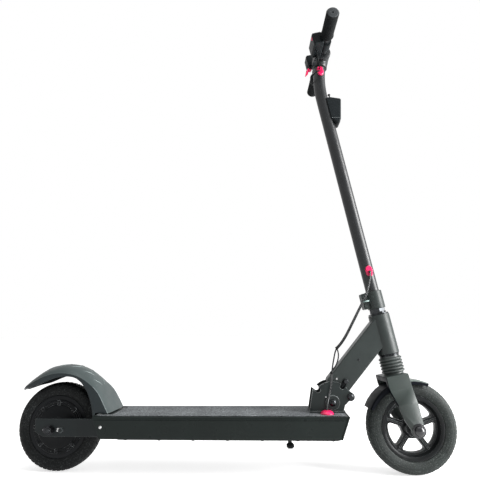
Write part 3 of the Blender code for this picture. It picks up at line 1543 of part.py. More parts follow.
def display():
    """The housing of the display and the throttle, on a ring round the bar."""
    size = Vector((DISPLAY_LENGTH, DISPLAY_WIDTH, DISPLAY_HEIGHT))
    obj = round_edges(box("display_housing", size, BAR + DISPLAY_PLACE), POD_CORNER_R)
    fuse(obj, pod_ring("display_ring", DISPLAY_PLACE.y))
    lever_mount(obj, THROTTLE_PIN, DISPLAY_PLACE.z - size.z / 2 + 0.003)
    recess = BUTTON_TRAVEL + RUNNING + 0.002
    spot = BAR + BUTTON_PLACE
    cut(
        obj,
        pod_bore("display_bore", DISPLAY_PLACE.y - POD_RING_L),
        pod_bore("display_bore_in", DISPLAY_PLACE.y + POD_RING_L / 2),
        rod("button_recess", BUTTON_R + RUNNING, 2 * recess, spot, "X", 16),
    )
    part(obj, BLACK_PLASTIC, STEER)


def brake_pod():
    size = Vector((BRAKE_POD_LENGTH, BRAKE_POD_WIDTH, BRAKE_POD_HEIGHT))
    obj = round_edges(box("brake_housing", size, BAR + BRAKE_POD_PLACE), POD_CORNER_R)
    neck = box("brake_neck", (0.018, 0.022, 0.016), BAR + Vector((-0.003, BRAKE_POD_PLACE.y, 0.018)))
    fuse(obj, pod_ring("brake_ring", BRAKE_POD_PLACE.y), neck)
    lever_mount(obj, BRAKE_PIN, BRAKE_POD_PLACE.z - size.z / 2 + 0.003)
    cut(obj, pod_bore("brake_bore", BRAKE_POD_PLACE.y))
    part(obj, BLACK_PLASTIC, STEER)


def button():
    face = -0.0018
    profile = [(0, 0.0020), (BUTTON_R, 0.0020), (BUTTON_R, face + 0.0008), (0, face)]
    obj = turned("power_button", profile, axis="Z", sides=16, ring=False)
    obj.matrix_basis = ROD_AXES["X"]
    part(obj, CRIMSON, BUTTON)


def headlight():
    """A lamp box saddled on the stem's front, with its lens facing forward."""
    top = STEM_STRAIGHT_TOP - LIGHT_DROP
    rear = STEM_R + SEAT
    outline = [
        (LIGHT_SADDLE, top),
        (rear + 0.002, top),
        (rear + LIGHT_BROW[0], top - LIGHT_BROW[1]),
        (rear + LIGHT_CHIN[0], top - LIGHT_CHIN[1]),
        (rear + LIGHT_TIP_FRONT[0], top - LIGHT_TIP_FRONT[1]),
        (rear + LIGHT_TIP_REAR[0], top - LIGHT_TIP_REAR[1]),
        (LIGHT_SADDLE, top - LIGHT_SADDLE_LOW),
    ]
    half = LIGHT_WIDTH / 2
    obj = round_edges(plate("headlight_housing", outline, -half, half, "Y"), 0.003)
    knob_x = rear + LIGHT_KNOB_R + 0.002
    knob_top = top + LIGHT_KNOB_H
    shaft = LIGHT_KNOB_H + 0.003
    fuse(
        obj,
        rod("light_knob_shaft", LIGHT_KNOB_R / 2, shaft, (knob_x, 0, knob_top - shaft / 2), "Z", 8),
        rod("light_knob", LIGHT_KNOB_R, 0.0035, (knob_x, 0, knob_top), "Z", 12),
    )
    place, aim = lens_place(top, rear)
    recess = rod("lens_recess", LENS_R + SEAT, 2 * LENS_T, (0, 0, 0), "Z", 20)
    recess.matrix_basis = place @ aim
    cut(obj, recess)
    cut(obj, rod("light_stem_room", rear, 0.3, (0, 0, top), "Z", 20))
    part(obj, BLACK_PLASTIC, STEER)
    dome = LENS_T * 0.5
    profile = [
        (0, dome),
        (LENS_R * 0.7, dome * 0.6),
        (LENS_R, 0),
        (LENS_R, -LENS_T + SEAT),
        (0, -LENS_T + SEAT),
    ]
    lens = turned("headlight_lens", profile, sides=20, ring=False)
    lens.matrix_basis = place @ aim
    part(lens, CLEAR, STEER)


def lens_place(top, rear):
    """The lens's centre on the lamp's front face, and the face's slant."""
    high = Vector((rear + LIGHT_BROW[0], 0, top - LIGHT_BROW[1]))
    low = Vector((rear + LIGHT_CHIN[0], 0, top - LIGHT_CHIN[1]))
    centre = high.lerp(low, 0.34)
    slant = math.atan2(high.x - low.x, high.z - low.z)
    return Matrix.Translation(centre), Matrix.Rotation(math.pi / 2 + slant, 4, "Y")


# Cords


def control_cables():
    for name, points in (
        ("control_cable_right", CABLE_RIGHT),
        ("control_cable_left", CABLE_LEFT),
    ):
        route = [BAR + point for point in through(points, 2)]
        part(tube(name, route, CABLE_R, 2), RUBBER, STEER)


def harness():
    route = [LOW_GROMMET + point for point in through(HARNESS_UPPER, 2)]
    part(tube("harness_upper", route, CABLE_R, 2), RUBBER, STEER)
    loop = through(HARNESS_LOOP, 2)
    part(tube("harness_loop", loop, CABLE_R, 2), RUBBER, FOLD)
    lower = [PIVOT + point for point in through(HARNESS_LOWER, 2)]
    part(tube("harness_lower", lower, CABLE_R, 2), RUBBER)


def deck_grommet():
    hole = CABLE_R + SEAT
    profile = [
        (hole, GROMMET_UP),
        (GROMMET_R * 0.45, GROMMET_UP),
        (GROMMET_R * 0.80, GROMMET_UP * 0.72),
        (GROMMET_R, GROMMET_UP * 0.30),
        (GROMMET_R, 0),
        (hole, 0),
    ]
    place = PIVOT + Vector((*GROMMET_PLACE, -PIVOT_OVER_DECK + SEAT))
    part(turned("deck_grommet", profile, place, "Z", 16), CRIMSON)


# Fork and front wheel


def fork():
    """A crown with two legs that splay outward below it, and the tube that slides in the steerer."""
    top, low = FORK_TOP_HALF, FORK_LOW_HALF
    bend_high = CROWN_LOW - FORK_BEND_DROP
    bend_low = bend_high - FORK_BEND_L
    foot = AXLE_UP - FORK_END_R - PAST
    leg = FORK_LEG_T
    side = [
        (top, CROWN_TOP),
        (top, bend_high),
        (low, bend_low),
        (low, foot),
        (low - leg, foot),
        (low - leg, bend_low),
        (top - leg, bend_high - 0.003),
        (top - leg, CROWN_LOW),
    ]
    front_view = side + [(-across, up) for across, up in reversed(side)]
    obj = plate("fork", front_view, -0.060, 0.040, "X")
    axle = (AXLE_AHEAD, AXLE_UP)
    outline = [
        (FORK_FRONT - 0.003, CROWN_TOP + PAST),
        (FORK_FRONT, CROWN_TOP - 0.006),
        (FORK_FRONT, AXLE_UP + 0.006),
        *arc(axle, FORK_END_R, 15, -195, 9),
        (-FORK_BACK_LOW, AXLE_UP + FORK_BACK_LOW_Z),
        (-FORK_BACK_MID, AXLE_UP + FORK_BACK_MID_Z),
        (-FORK_BACK_HIGH, CROWN_LOW - FORK_BACK_HIGH_DROP),
        (-CROWN_BACK, CROWN_LOW - FORK_BACK_HIGH_DROP * 0.4),
        (-CROWN_BACK, CROWN_TOP + PAST),
    ]
    combine(obj, "INTERSECT", [plate("fork_side_view", outline, -0.1, 0.1, "Y")])
    round_edges(obj, 0.0016)
    length = FORK_TUBE_L
    slider = rod("fork_tube", FORK_TUBE_R, length, (0, 0, CROWN_LOW + length / 2))
    hole = rod("fork_axle_hole", FRONT_AXLE_R + SEAT, 0.3, (AXLE_AHEAD, 0, AXLE_UP), "Y", 14)
    fuse(obj, slider)
    cut(obj, hole)
    part(obj, FORK_GREEN, FORK)


def bellows():
    """A ribbed boot between the crown and the race, open all through."""
    low = CROWN_TOP + SEAT
    cuff = 0.003
    pitch = (BELLOWS_L - 2 * cuff) / BELLOWS_RIBS
    outer = [(BELLOWS_R - BELLOWS_DEPTH, BELLOWS_L)]
    for rib in range(BELLOWS_RIBS):
        at = BELLOWS_L - cuff - rib * pitch
        outer += [(BELLOWS_R - BELLOWS_DEPTH, at), (BELLOWS_R, at - pitch / 2)]
    outer += [(BELLOWS_R - BELLOWS_DEPTH, cuff), (BELLOWS_R - BELLOWS_DEPTH, 0)]
    inner = [(radius - BELLOWS_WALL, up) for radius, up in reversed(outer)]
    part(turned("bellows", outer + inner, (0, 0, low), sides=16), RUBBER, FORK)


def suspension_spring():
    per_turn = 6
    length = SPRING_ROOM - 2 * SPRING_WIRE_R - 2 * SEAT
    route = []
    for step in range(SPRING_TURNS * per_turn + 1):
        angle = 2 * math.pi * step / per_turn
        up = SPRING_LOW + SEAT + SPRING_WIRE_R + length * step / (SPRING_TURNS * per_turn)
        route.append((SPRING_R * math.cos(angle), SPRING_R * math.sin(angle), up))
    part(tube("suspension_spring", route, SPRING_WIRE_R, 1), STEEL, STEER)


def front_fender():
    """A guard over the tyre's top, with cheeks beside it."""
    half = FRONT_FENDER_HALF
    crown = WHEEL_R + FRONT_FENDER_OVER
    lip = crown - FRONT_FENDER_SKIRT
    edge = FRONT_FENDER_EDGE
    across = [(-half, lip), (-half, crown - 1.5 * edge), (-half + edge, crown - 0.4 * edge), (0, crown)]
    row = across + [(-y, radius) for y, radius in reversed(across[:-1])]
    sections = []
    steps = 10
    for step in range(steps + 1):
        turn = FRONT_FENDER_FROM + (FRONT_FENDER_TO - FRONT_FENDER_FROM) * step / steps
        angle = math.radians(turn)
        taper = min(1.0, 0.55 + 0.9 * step / steps, 0.55 + 0.9 * (steps - step) / steps)
        sections.append(
            [
                (
                    AXLE_AHEAD + (crown - (crown - radius) * taper) * math.cos(angle),
                    y,
                    AXLE_UP + (crown - (crown - radius) * taper) * math.sin(angle),
                )
                for y, radius in row
            ]
        )
    obj = shell("front_fender", sections, FRONT_FENDER_T)
    seat_high = CROWN_LOW - SEAT
    seat_low = AXLE_UP + crown - 0.003
    size = (0.030, 0.024, seat_high - seat_low)
    fuse(obj, box("fender_seat", size, (-0.006, 0, (seat_high + seat_low) / 2)))
    part(obj, BLACK_PLASTIC, FORK)


def front_axle():
    inner = FORK_LOW_HALF - FORK_LEG_T - SEAT
    profile = axle_profile(
        FRONT_AXLE_R, FORK_LOW_HALF + 0.009, FRONT_AXLE_R + 0.0035, HUB_HALF + RUNNING, inner
    )
    part(turned("front_axle", profile, axis="Y", sides=10, ring=False), STEEL, FORK)
    bpy.data.objects["front_axle"].matrix_basis = (
        Matrix.Translation((AXLE_AHEAD, 0, AXLE_UP)) @ ROD_AXES["Y"]
    )


def dome_nut(name, side):
    """A dome nut on a wide washer."""
    face = FORK_LOW_HALF + SEAT
    bore = FRONT_AXLE_R + SEAT
    dome = 0.0125
    height = 0.0135
    profile = [
        (0, face + height),
        (dome * 0.55, face + height - 0.0012),
        (dome * 0.85, face + height - 0.0045),
        (dome, face + 0.0055),
        (dome, face + 0.0025),
        (0.0165, face + 0.0015),
        (0.0165, face),
        (bore, face),
        (bore, face + 0.0095),
        (0, face + 0.0095),
    ]
    if side < 0:
        profile = [(radius, -along) for radius, along in reversed(profile)]
    obj = turned(name, profile, (AXLE_AHEAD, 0, AXLE_UP), "Y", 12, ring=False)
    part(obj, DARK_STEEL, FORK)


def window_outline(middle):
    """A gap between two spokes, wider outside, with its corners cut."""
    gap = 180 / SPOKES
    corner = math.degrees(WINDOW_CORNER / WINDOW_OUT_R)
    outer = gap - math.degrees(math.asin(SPOKE_WIDTH / 2 / WINDOW_OUT_R))
    inner = gap - math.degrees(math.asin(SPOKE_WIDTH / 2 / WINDOW_IN_R))
    inner_corner = math.degrees(WINDOW_CORNER / WINDOW_IN_R)
    wide = WINDOW_OUT_R - WINDOW_CORNER
    narrow = WINDOW_IN_R + WINDOW_CORNER
    return [
        *arc((0, 0), WINDOW_OUT_R, middle - outer + corner, middle + outer - corner, 3),
        polar(wide, middle + outer),
        polar(narrow, middle + inner),
        *arc((0, 0), WINDOW_IN_R, middle + inner - inner_corner, middle - inner + inner_corner, 1),
        polar(narrow, middle - inner),
        polar(wide, middle - outer),
    ]


def front_rim():
    """A cast wheel: hub, ribbed spokes and rim in one piece."""
    bore = FRONT_AXLE_R + RUNNING
    barrel = WINDOW_OUT_R + 0.003
    profile = [
        *rim_outside(),
        (barrel + 0.005, -RIM_HALF + 0.001),
        (barrel, -WEB_HALF),
        (HUB_R + 0.004, -WEB_HALF - 0.001),
        (HUB_R, -HUB_HALF),
        (bore, -HUB_HALF),
        (bore, HUB_HALF),
        (HUB_R, HUB_HALF),
        (HUB_R + 0.004, WEB_HALF + 0.001),
        (barrel, WEB_HALF),
        (barrel + 0.005, RIM_HALF - 0.001),
    ]
    obj = turned("front_rim", profile, axis="Y")
    lean = math.degrees(LEAN)
    for spoke in range(SPOKES):
        angle = 90 - lean + spoke * 360 / SPOKES
        window = window_outline(angle + 180 / SPOKES)
        cut(obj, plate(f"wheel_window_{spoke}", window, -RIM_WIDTH, RIM_WIDTH, "Y"))
        size = (barrel - HUB_R + 0.004, 2 * WEB_HALF + 0.005, 0.0045)
        rib = box(f"spoke_rib_{spoke}", size, (0, 0, 0))
        reach = Matrix.Translation(((barrel + HUB_R) / 2, 0, 0))
        rib.matrix_basis = Matrix.Rotation(-math.radians(angle), 4, "Y") @ reach
        fuse(obj, rib)
    part(obj, BLACK_PAINT, FRONT_WHEEL)


def build():
    deck()
    charge_port()
    front_cap()
    grip_tape()
    bottom_cover()
    battery()
    controller()
    dropout("dropout_right", -1)
    dropout("dropout_left", 1)
    rear_axle()
    rear_nut("axle_nut_right", -1)
    rear_nut("axle_nut_left", 1)
    stator()
    motor_shell()
    motor_cover()
    tyre("rear_tyre", REAR_WHEEL)
    rear_fender()
    fender_bracket()
    kickstand()
    hinge_bracket()
    hinge_bolts()
    lock_pin()
    fold_arm()
    headset_cups()
    steerer()
    headset_nut()
    stem_clamp()
    stem_tube()
    stem_grommets()
    bar_clamp()
    handlebar()
    grip("grip_right", -1)
    grip("grip_left", 1)
    display()
    brake_pod()
    button()
    lever("throttle_lever", 215, (0.0030, 0.0250), BLACK_PLASTIC, THROTTLE)
    lever("brake_lever", 213, (-0.0160, 0.0160), CRIMSON, BRAKE)
    headlight()
    control_cables()
    harness()
    deck_grommet()
    fork()
    bellows()
    suspension_spring()
    front_fender()
    front_axle()
    dome_nut("front_nut_right", -1)
    dome_nut("front_nut_left", 1)
    front_rim()
    tyre("front_tyre", FRONT_WHEEL)


build()
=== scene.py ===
"""The looks of a folding electric scooter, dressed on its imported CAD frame.

Lengths are in metres. +X is forward, +Y is the scooter's left and +Z is up. The parts of the
steering are placed in a frame of their own, whose Z runs up the steering axis.
"""

import contextlib
import json
import math

import bmesh
import bpy
from mathutils import Matrix, Vector


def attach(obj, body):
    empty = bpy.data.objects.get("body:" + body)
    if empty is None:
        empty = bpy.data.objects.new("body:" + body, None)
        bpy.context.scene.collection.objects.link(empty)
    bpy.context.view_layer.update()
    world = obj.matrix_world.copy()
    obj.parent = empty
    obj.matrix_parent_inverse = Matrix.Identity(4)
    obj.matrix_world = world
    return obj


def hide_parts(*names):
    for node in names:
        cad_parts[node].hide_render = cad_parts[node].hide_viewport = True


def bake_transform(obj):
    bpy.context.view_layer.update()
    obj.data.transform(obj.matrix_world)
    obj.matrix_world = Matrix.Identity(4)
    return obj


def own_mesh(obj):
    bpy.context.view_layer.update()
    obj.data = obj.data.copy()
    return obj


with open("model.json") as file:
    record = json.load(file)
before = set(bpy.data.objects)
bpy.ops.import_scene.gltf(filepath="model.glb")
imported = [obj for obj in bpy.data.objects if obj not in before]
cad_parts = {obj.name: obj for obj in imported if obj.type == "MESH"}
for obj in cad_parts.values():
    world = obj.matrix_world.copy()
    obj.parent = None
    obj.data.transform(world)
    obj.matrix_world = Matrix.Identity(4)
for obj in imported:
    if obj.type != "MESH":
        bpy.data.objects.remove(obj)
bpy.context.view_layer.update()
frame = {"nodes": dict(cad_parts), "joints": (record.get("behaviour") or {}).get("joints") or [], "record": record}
NODES = frame["nodes"]
JOINTS = {joint["name"]: joint for joint in frame["joints"]}

# The photograph's camera
PHOTO_PIXELS = 480
FOCAL_PIXELS = 443
SENSOR_MM = 36
CAMERA_PLACE = (0.1233, -1.1921, 0.3341)
CAMERA_PITCH = math.radians(12.04)
CAMERA_YAW = math.radians(4.52)
CAMERA_ROLL = math.radians(-0.71)

# The stage. A softbox has a place, an aim, a width and height, and a glow.
FLOOR_HALF = 60.0
FLOOR_LIFT = 0.64
WORLD_LIGHT = 0.42
SOFTBOXES = (
    ("side", (2.08, -0.62, 0.85), (0.3, 0.0, 0.55), (0.9, 1.9), 25.0),
    ("top", (0.1, -0.4, 2.7), (0.1, 0.0, 0.4), (2.4, 1.4), 1.6),
)

# Driving dimensions
ROUND = 96
RIM_HALF = 0.020
RIM_SEAT_R = 0.0725
RIM_FLANGE_R = 0.0765
TREAD_PITCHES = 52
TREAD_COLUMNS = 8
TREAD_DEPTH = 0.0016
SPOKES = 5
SPOKE_WIDTH = 0.013
SPOKE_RIB_T = 0.0036
WINDOW_OUT_R = 0.058
WINDOW_IN_R = 0.027
WINDOW_CORNER = 0.006
HUB_R = 0.020
HUB_HALF = 0.027
FRONT_BORE_R = 0.0056
REAR_BORE_R = 0.0066
WEB_HALF = 0.008
COVER_LUGS = 8
LUG_HALF = 0.0034
LUG_RISE = 0.0040
COVER_RING_R = 0.052
HEAD_R = 0.0266
STEM_R = 0.017
STEM_BEND_R = 0.3258
STEM_STRAIGHT = 0.5875
BAR_R = 0.0111
BAR_HALF = 0.190
GRIP_R = 0.017
GRIP_L = 0.0905
GRIP_RIBS = 26
GRIP_FLUTES = 24
FLUTE_SLANT = 280
FLUTE_DEPTH = 0.0005
CABLE_R = 0.0018


# Frames of reference


def local_frame(origin, up, across):
    """A matrix at the origin whose Z is up and whose Y is across."""
    z = Vector(up).normalized()
    y = Vector(across).normalized()
    x = y.cross(z)
    matrix = Matrix((x, y, z)).transposed().to_4x4()
    matrix.translation = Vector(origin)
    return matrix


STEER_AXIS = JOINTS["steer"]["axis"]
STEER_FOOT = JOINTS["steer"]["pos_m"]
ACROSS = JOINTS["front_spin"]["axis"]
HEAD = local_frame(STEER_FOOT, STEER_AXIS, (0, 1, 0))
STEER = local_frame(STEER_FOOT, STEER_AXIS, ACROSS)
PIVOT = Vector(JOINTS["fold"]["pos_m"])
SIDEWAYS = Matrix.Rotation(-math.pi / 2, 4, "X")
FRONT_AXLE = Vector(JOINTS["front_spin"]["pos_m"])
REAR_AXLE = Vector(JOINTS["rear_spin"]["pos_m"])
FRONT_WHEEL = Matrix.Translation(FRONT_AXLE) @ STEER.to_3x3().to_4x4() @ SIDEWAYS
REAR_WHEEL = Matrix.Translation(REAR_AXLE) @ SIDEWAYS
WORLD = Matrix()


def corners(node, matrix=WORLD):
    """The lowest and highest corner of a CAD node in a frame of reference."""
    back = matrix.inverted()
    points = [back @ vertex.co for vertex in NODES[node].data.vertices]
    low = Vector(min(point[i] for point in points) for i in range(3))
    high = Vector(max(point[i] for point in points) for i in range(3))
    return low, high


def middle(node, matrix=WORLD):
    low, high = corners(node, matrix)
    return (low + high) / 2


# Materials


class Graph:
    """A new material, or the world, whose nodes are added by kind."""

    def __init__(self, name, world=None):
        self.owner = world or bpy.data.materials.new(name)
        self.owner.use_nodes = True
        self.tree = self.owner.node_tree
        self.shader = self.tree.nodes["Background" if world else "Principled BSDF"]
        if not world:
            self.place = self.add("ShaderNodeTexCoord").outputs["Object"]

    def add(self, kind, inputs=(), **settings):
        """A node with its settings and its inputs."""
        node = self.tree.nodes.new(kind)
        for name, value in settings.items():
            setattr(node, name, value)
        self.fill(node, inputs)
        return node

    def fill(self, node, inputs):
        """Gives a node's inputs plain values, or links them to sockets."""
        for name, value in dict(inputs).items():
            if isinstance(value, bpy.types.NodeSocket):
                self.tree.links.new(value, node.inputs[name])
            else:
                node.inputs[name].default_value = value

    def noise(self, scale, detail=4.0, stretch=(1, 1, 1)):
        mapping = self.add("ShaderNodeMapping", {"Scale": stretch, "Vector": self.place})
        inputs = {"Scale": scale, "Detail": detail, "Vector": mapping.outputs["Vector"]}
        return self.add("ShaderNodeTexNoise", inputs).outputs["Fac"]

    def cells(self, scale):
        return self.add("ShaderNodeTexVoronoi", {"Scale": scale, "Vector": self.place}).outputs

    def ramp(self, source, low, high, start=0.35, end=0.65):
        """A value or colour that runs from low to high as the source does from start to end."""
        if isinstance(low, (int, float)):
            inputs = {"Value": source, "From Min": start, "From Max": end}
            inputs.update({"To Min": low, "To Max": high})
            return self.add("ShaderNodeMapRange", inputs).outputs["Result"]
        node = self.add("ShaderNodeValToRGB", {"Fac": source})
        for stop, place, colour in zip(node.color_ramp.elements, (start, end), (low, high)):
            stop.position = place
            stop.color = (*colour, 1)
        return node.outputs["Color"]

    def shades(self, source, colour, dark, pale, start=0.35, end=0.65):
        """A colour, made darker and paler by these factors."""
        low, high = ([min(1.0, channel * k) for channel in colour] for k in (dark, pale))
        return self.ramp(source, low, high, start, end)

    def mix(self, factor, first, second):
        inputs = {"Factor": factor, "A": first, "B": second}
        return self.add("ShaderNodeMix", inputs, data_type="RGBA").outputs["Result"]

    def edge(self, width):
        """One along the edges and nought on the faces."""
        rounded = self.add("ShaderNodeBevel", {"Radius": width}, samples=6).outputs["Normal"]
        flat = self.add("ShaderNodeNewGeometry").outputs["Normal"]
        agree = self.add("ShaderNodeVectorMath", {0: rounded, 1: flat}, operation="DOT_PRODUCT")
        return self.ramp(agree.outputs["Value"], 1.0, 0.0, 0.86, 0.985)

    def seen_directly(self):
        """One for camera, glossy and transmission rays, and nought for those that light things."""
        rays = self.add("ShaderNodeLightPath").outputs
        total = rays["Is Camera Ray"]
        for ray in ("Is Glossy Ray", "Is Transmission Ray"):
            inputs = {0: total, 1: rays[ray]}
            total = self.add("ShaderNodeMath", inputs, operation="MAXIMUM").outputs[0]
        return total

    def done(self, colour, rough, relief, strength, depth, sheen=0.5, **values):
        """The material, from what makes its colour, roughness and relief."""
        inputs = {"Height": relief, "Strength": strength, "Distance": depth}
        normal = self.add("ShaderNodeBump", inputs).outputs["Normal"]
        inputs = {"Base Color": colour, "Roughness": rough, "Normal": normal}
        inputs["Specular IOR Level"] = sheen
        inputs.update({name.replace("_", " "): value for name, value in values.items()})
        self.fill(self.shader, inputs)
        return self.owner


def paint(name, colour, roughness, sheen, edge_highlight=0.0):
    """Powder coat: a fine orange peel, slow shifts of tone and lightly rubbed patches.

    Where an edge highlight width is given, its edges show a painted highlight: a paler line of that width.
    """
    graph = Graph(name)
    tone = graph.noise(9, 3)
    coat = graph.shades(tone, colour, 0.86, 1.14)
    if edge_highlight:
        # The edges are painted paler: a painted highlight where light would catch them.
        highlight_tone = graph.ramp(tone, (0.22, 0.24, 0.24), (0.42, 0.45, 0.45))
        coat = graph.mix(graph.edge(edge_highlight), coat, highlight_tone)
    rough = graph.ramp(graph.noise(40, 6), roughness - 0.04, roughness + 0.06)
    return graph.done(coat, rough, graph.noise(1400, 2), 0.08, 0.00012, sheen)


def plastic(name, colour, roughness, grain, sheen):
    """Moulded plastic with a spark-eroded grain."""
    graph = Graph(name)
    coat = graph.shades(graph.noise(14, 2), colour, 0.9, 1.15)
    rough = graph.ramp(graph.noise(60, 4), roughness - 0.04, roughness + 0.06)
    return graph.done(coat, rough, graph.cells(2200)["Distance"], grain, 0.00012, sheen)


def rubber(name, colour, roughness, sheen, dust=None):
    """Matt rubber with a bloom, and where it runs on the road with specks of dust."""
    graph = Graph(name)
    bloom = graph.noise(24, 8)
    coat = graph.shades(bloom, colour, 0.7, 1.5, 0.3, 0.75)
    if dust:
        specks = graph.ramp(graph.noise(430, 5), 0.0, 1.0, 0.54, 0.70)
        coat = graph.mix(specks, coat, graph.shades(bloom, dust, 0.5, 1))
    rough = graph.ramp(bloom, roughness - 0.08, roughness + 0.08)
    return graph.done(coat, rough, graph.noise(900, 3), 0.22, 0.0002, sheen)


def cast(name, colour, roughness, sheen, edge_highlight=0.0):
    """Painted die casting with a slightly pebbled skin; where an edge highlight width is given, a painted
    highlight: a pale line along its edges.
    """
    graph = Graph(name)
    coat = graph.shades(graph.noise(12, 4), colour, 0.85, 1.2)
    if edge_highlight:
        # The edges are painted pale: a painted highlight where light would catch them.
        highlight_tone = graph.ramp(graph.noise(45, 3), (0.03, 0.034, 0.036), (0.60, 0.63, 0.64), 0.4, 0.6)
        coat = graph.mix(graph.edge(edge_highlight), coat, highlight_tone)
    rough = graph.ramp(graph.noise(70, 5), roughness - 0.05, roughness + 0.08)
    return graph.done(coat, rough, graph.noise(500, 4), 0.15, 0.0003, sheen)


def metal(name, colour, roughness):
    """Turned or drawn metal with fine lines and a few dull spots."""
    graph = Graph(name)
    coat = graph.shades(graph.noise(30, 5), colour, 0.8, 1.15)
    lines = graph.noise(160, 2, (1, 12, 12))
    rough = graph.ramp(lines, roughness - 0.06, roughness + 0.08)
    return graph.done(coat, rough, lines, 0.08, 0.0001, Metallic=1.0)


def grit(name, dark, pale):
    """Abrasive tape: dense dark crystals, of which a few, in patches, are painted pale as painted glints."""
    graph = Graph(name)
    crystals = graph.cells(620)
    dull = graph.shades(crystals["Color"], dark, 1, 2.2, 0.3, 0.95)
    # Crystals painted pale: painted glints.
    glints = graph.ramp(crystals["Color"], dark, pale, 0.3, 0.98)
    coat = graph.mix(graph.ramp(graph.noise(16, 4), 0.25, 0.75, 0.35, 0.7), dull, glints)
    rough = graph.ramp(crystals["Distance"], 0.45, 0.9, 0.0, 0.6)
    return graph.done(coat, rough, crystals["Distance"], 0.8, 0.0012)


def clear(name, colour):
    """A moulded lens with fluted optics behind it."""
    graph = Graph(name)
    flutes = graph.noise(300, 1, (0.2, 1, 1))
    coat = graph.shades(flutes, colour, 0.75, 1)
    return graph.done(coat, 0.08, flutes, 0.4, 0.0006, Coat_Weight=0.7, Coat_Roughness=0.03)


def windings(name, colour):
    """Enamelled copper wire, laid side by side."""
    graph = Graph(name)
    turns = graph.noise(500, 1, (1, 0.1, 1))
    return graph.done(graph.shades(turns, colour, 0.5, 1), 0.3, turns, 0.6, 0.0006, Metallic=0.9)


FINISHES = {
    name: maker(name, *values)
    for maker, name, *values in (
        (paint, "deck_paint", (0.0070, 0.0105, 0.0095), 0.30, 0.15),
        (paint, "arm_paint", (0.0120, 0.0170, 0.0160), 0.42, 0.34),
        (paint, "fork_paint", (0.020, 0.028, 0.025), 0.42, 0.40),
        (paint, "black_paint", (0.0045, 0.0055, 0.0065), 0.38, 0.42),
        (paint, "fender_paint", (0.040, 0.053, 0.053), 0.38, 0.30),
        # The rear fender's side cheeks in a darker paint: painted shade on the same paint as the fender.
        (paint, "cheek_paint", (0.017, 0.023, 0.025), 0.38, 0.20),
        # Pale paint for the rear fender's crease line and ribs: painted highlight.
        (paint, "rib_paint", (0.17, 0.20, 0.20), 0.34, 0.30),
        # The front guard's paler front half: a painted reflection on the same black plastic.
        (paint, "guard_paint", (0.105, 0.125, 0.115), 0.34, 0.30),
        # Pale paint for thin lines along edges and seams: painted highlight.
        (paint, "edge_paint", (0.10, 0.115, 0.115), 0.32, 0.5),
        (paint, "gloss_black", (0.0050, 0.0056, 0.0075), 0.16, 0.55),
        # These three paints and cover_cast take an edge width: their edges get a paler line, a painted highlight.
        (paint, "hinge_paint", (0.0110, 0.0155, 0.0150), 0.36, 0.22, 0.0012),
        (paint, "plate_paint", (0.0090, 0.0125, 0.0130), 0.36, 0.18, 0.0016),
        (paint, "rim_paint", (0.0050, 0.0058, 0.0062), 0.36, 0.14, 0.0008),
        (cast, "casing", (0.0055, 0.0065, 0.0075), 0.34, 0.12),
        (cast, "cover_cast", (0.0040, 0.0048, 0.0055), 0.34, 0.10, 0.0013),
        (plastic, "black_plastic", (0.0075, 0.0095, 0.0105), 0.42, 0.25, 0.09),
        (plastic, "guard_black", (0.0060, 0.0068, 0.0090), 0.40, 0.1, 0.03),
        (plastic, "cap_grey", (0.034, 0.038, 0.041), 0.5, 0.2, 0.2),
        (plastic, "tie_grey", (0.16, 0.22, 0.21), 0.4, 0.05, 0.4),
        (plastic, "screen_glass", (0.006, 0.007, 0.008), 0.08, 0.0, 0.5),
        (plastic, "pale_mark", (0.75, 0.75, 0.75), 0.4, 0.05, 0.5),
        (plastic, "battery_wrap", (0.030, 0.090, 0.250), 0.35, 0.05, 0.5),
        (plastic, "crimson_plastic", (0.72, 0.010, 0.095), 0.26, 0.08, 0.5),
        (rubber, "rubber", (0.0060, 0.0068, 0.0072), 0.60, 0.08),
        (rubber, "boot_rubber", (0.030, 0.036, 0.034), 0.42, 0.4),
        (rubber, "wire_sleeve", (0.0060, 0.0070, 0.0075), 0.30, 0.35),
        (rubber, "tyre_rubber", (0.014, 0.017, 0.016), 0.58, 0.18, (0.095, 0.108, 0.102)),
        (rubber, "rear_tyre_rubber", (0.0042, 0.0048, 0.0050), 0.55, 0.12, (0.060, 0.066, 0.066)),
        # The tape's pale colour is for painted glints on its crystals.
        (grit, "grip_tape", (0.026, 0.030, 0.034), (0.52, 0.56, 0.57)),
        (metal, "steel", (0.50, 0.50, 0.50), 0.22),
        (metal, "dark_steel", (0.030, 0.031, 0.033), 0.26),
        # Steel painted dark to stand for the dark surroundings it reflects: a painted reflection.
        (metal, "blackened_steel", (0.034, 0.036, 0.038), 0.24),
        (windings, "windings", (0.60, 0.25, 0.12)),
        (clear, "clear_plastic", (0.55, 0.58, 0.60)),
    )
}


# Modelling helpers

SIDES = ((-1, "right"), (1, "left"))


def new_object(name, data, matrix=WORLD):
    obj = bpy.data.objects.new(name, data)
    bpy.context.scene.collection.objects.link(obj)
    obj.matrix_world = matrix
    return obj


@contextlib.contextmanager
def editing(mesh):
    """A mesh opened for changes, which are kept at the end."""
    work = bmesh.new()
    work.from_mesh(mesh)
    yield work
    work.to_mesh(mesh)
    work.free()


def solid(name, points, faces, matrix=WORLD):
    """A mesh from points and faces, with its faces turned outward."""
    mesh = bpy.data.meshes.new(name)
    mesh.from_pydata([tuple(point) for point in points], [], faces)
    with editing(mesh) as work:
        bmesh.ops.recalc_face_normals(work, faces=work.faces)
    return new_object(name, mesh, matrix)


def loft(name, rings, matrix=WORLD, loop=False):
    """A skin over rings of equal count. They form a loop, or the first and last close it."""
    count = len(rings[0])
    points = [point for ring in rings for point in ring]
    faces = []
    for row in range(len(rings) if loop else len(rings) - 1):
        here = row * count
        there = (row + 1) % len(rings) * count
        for i in range(count):
            j = (i + 1) % count
            faces.append([here + i, here + j, there + j, there + i])
    if not loop:
        faces += [list(range(count)), list(range(len(points) - count, len(points)))]
    return solid(name, points, faces, matrix)


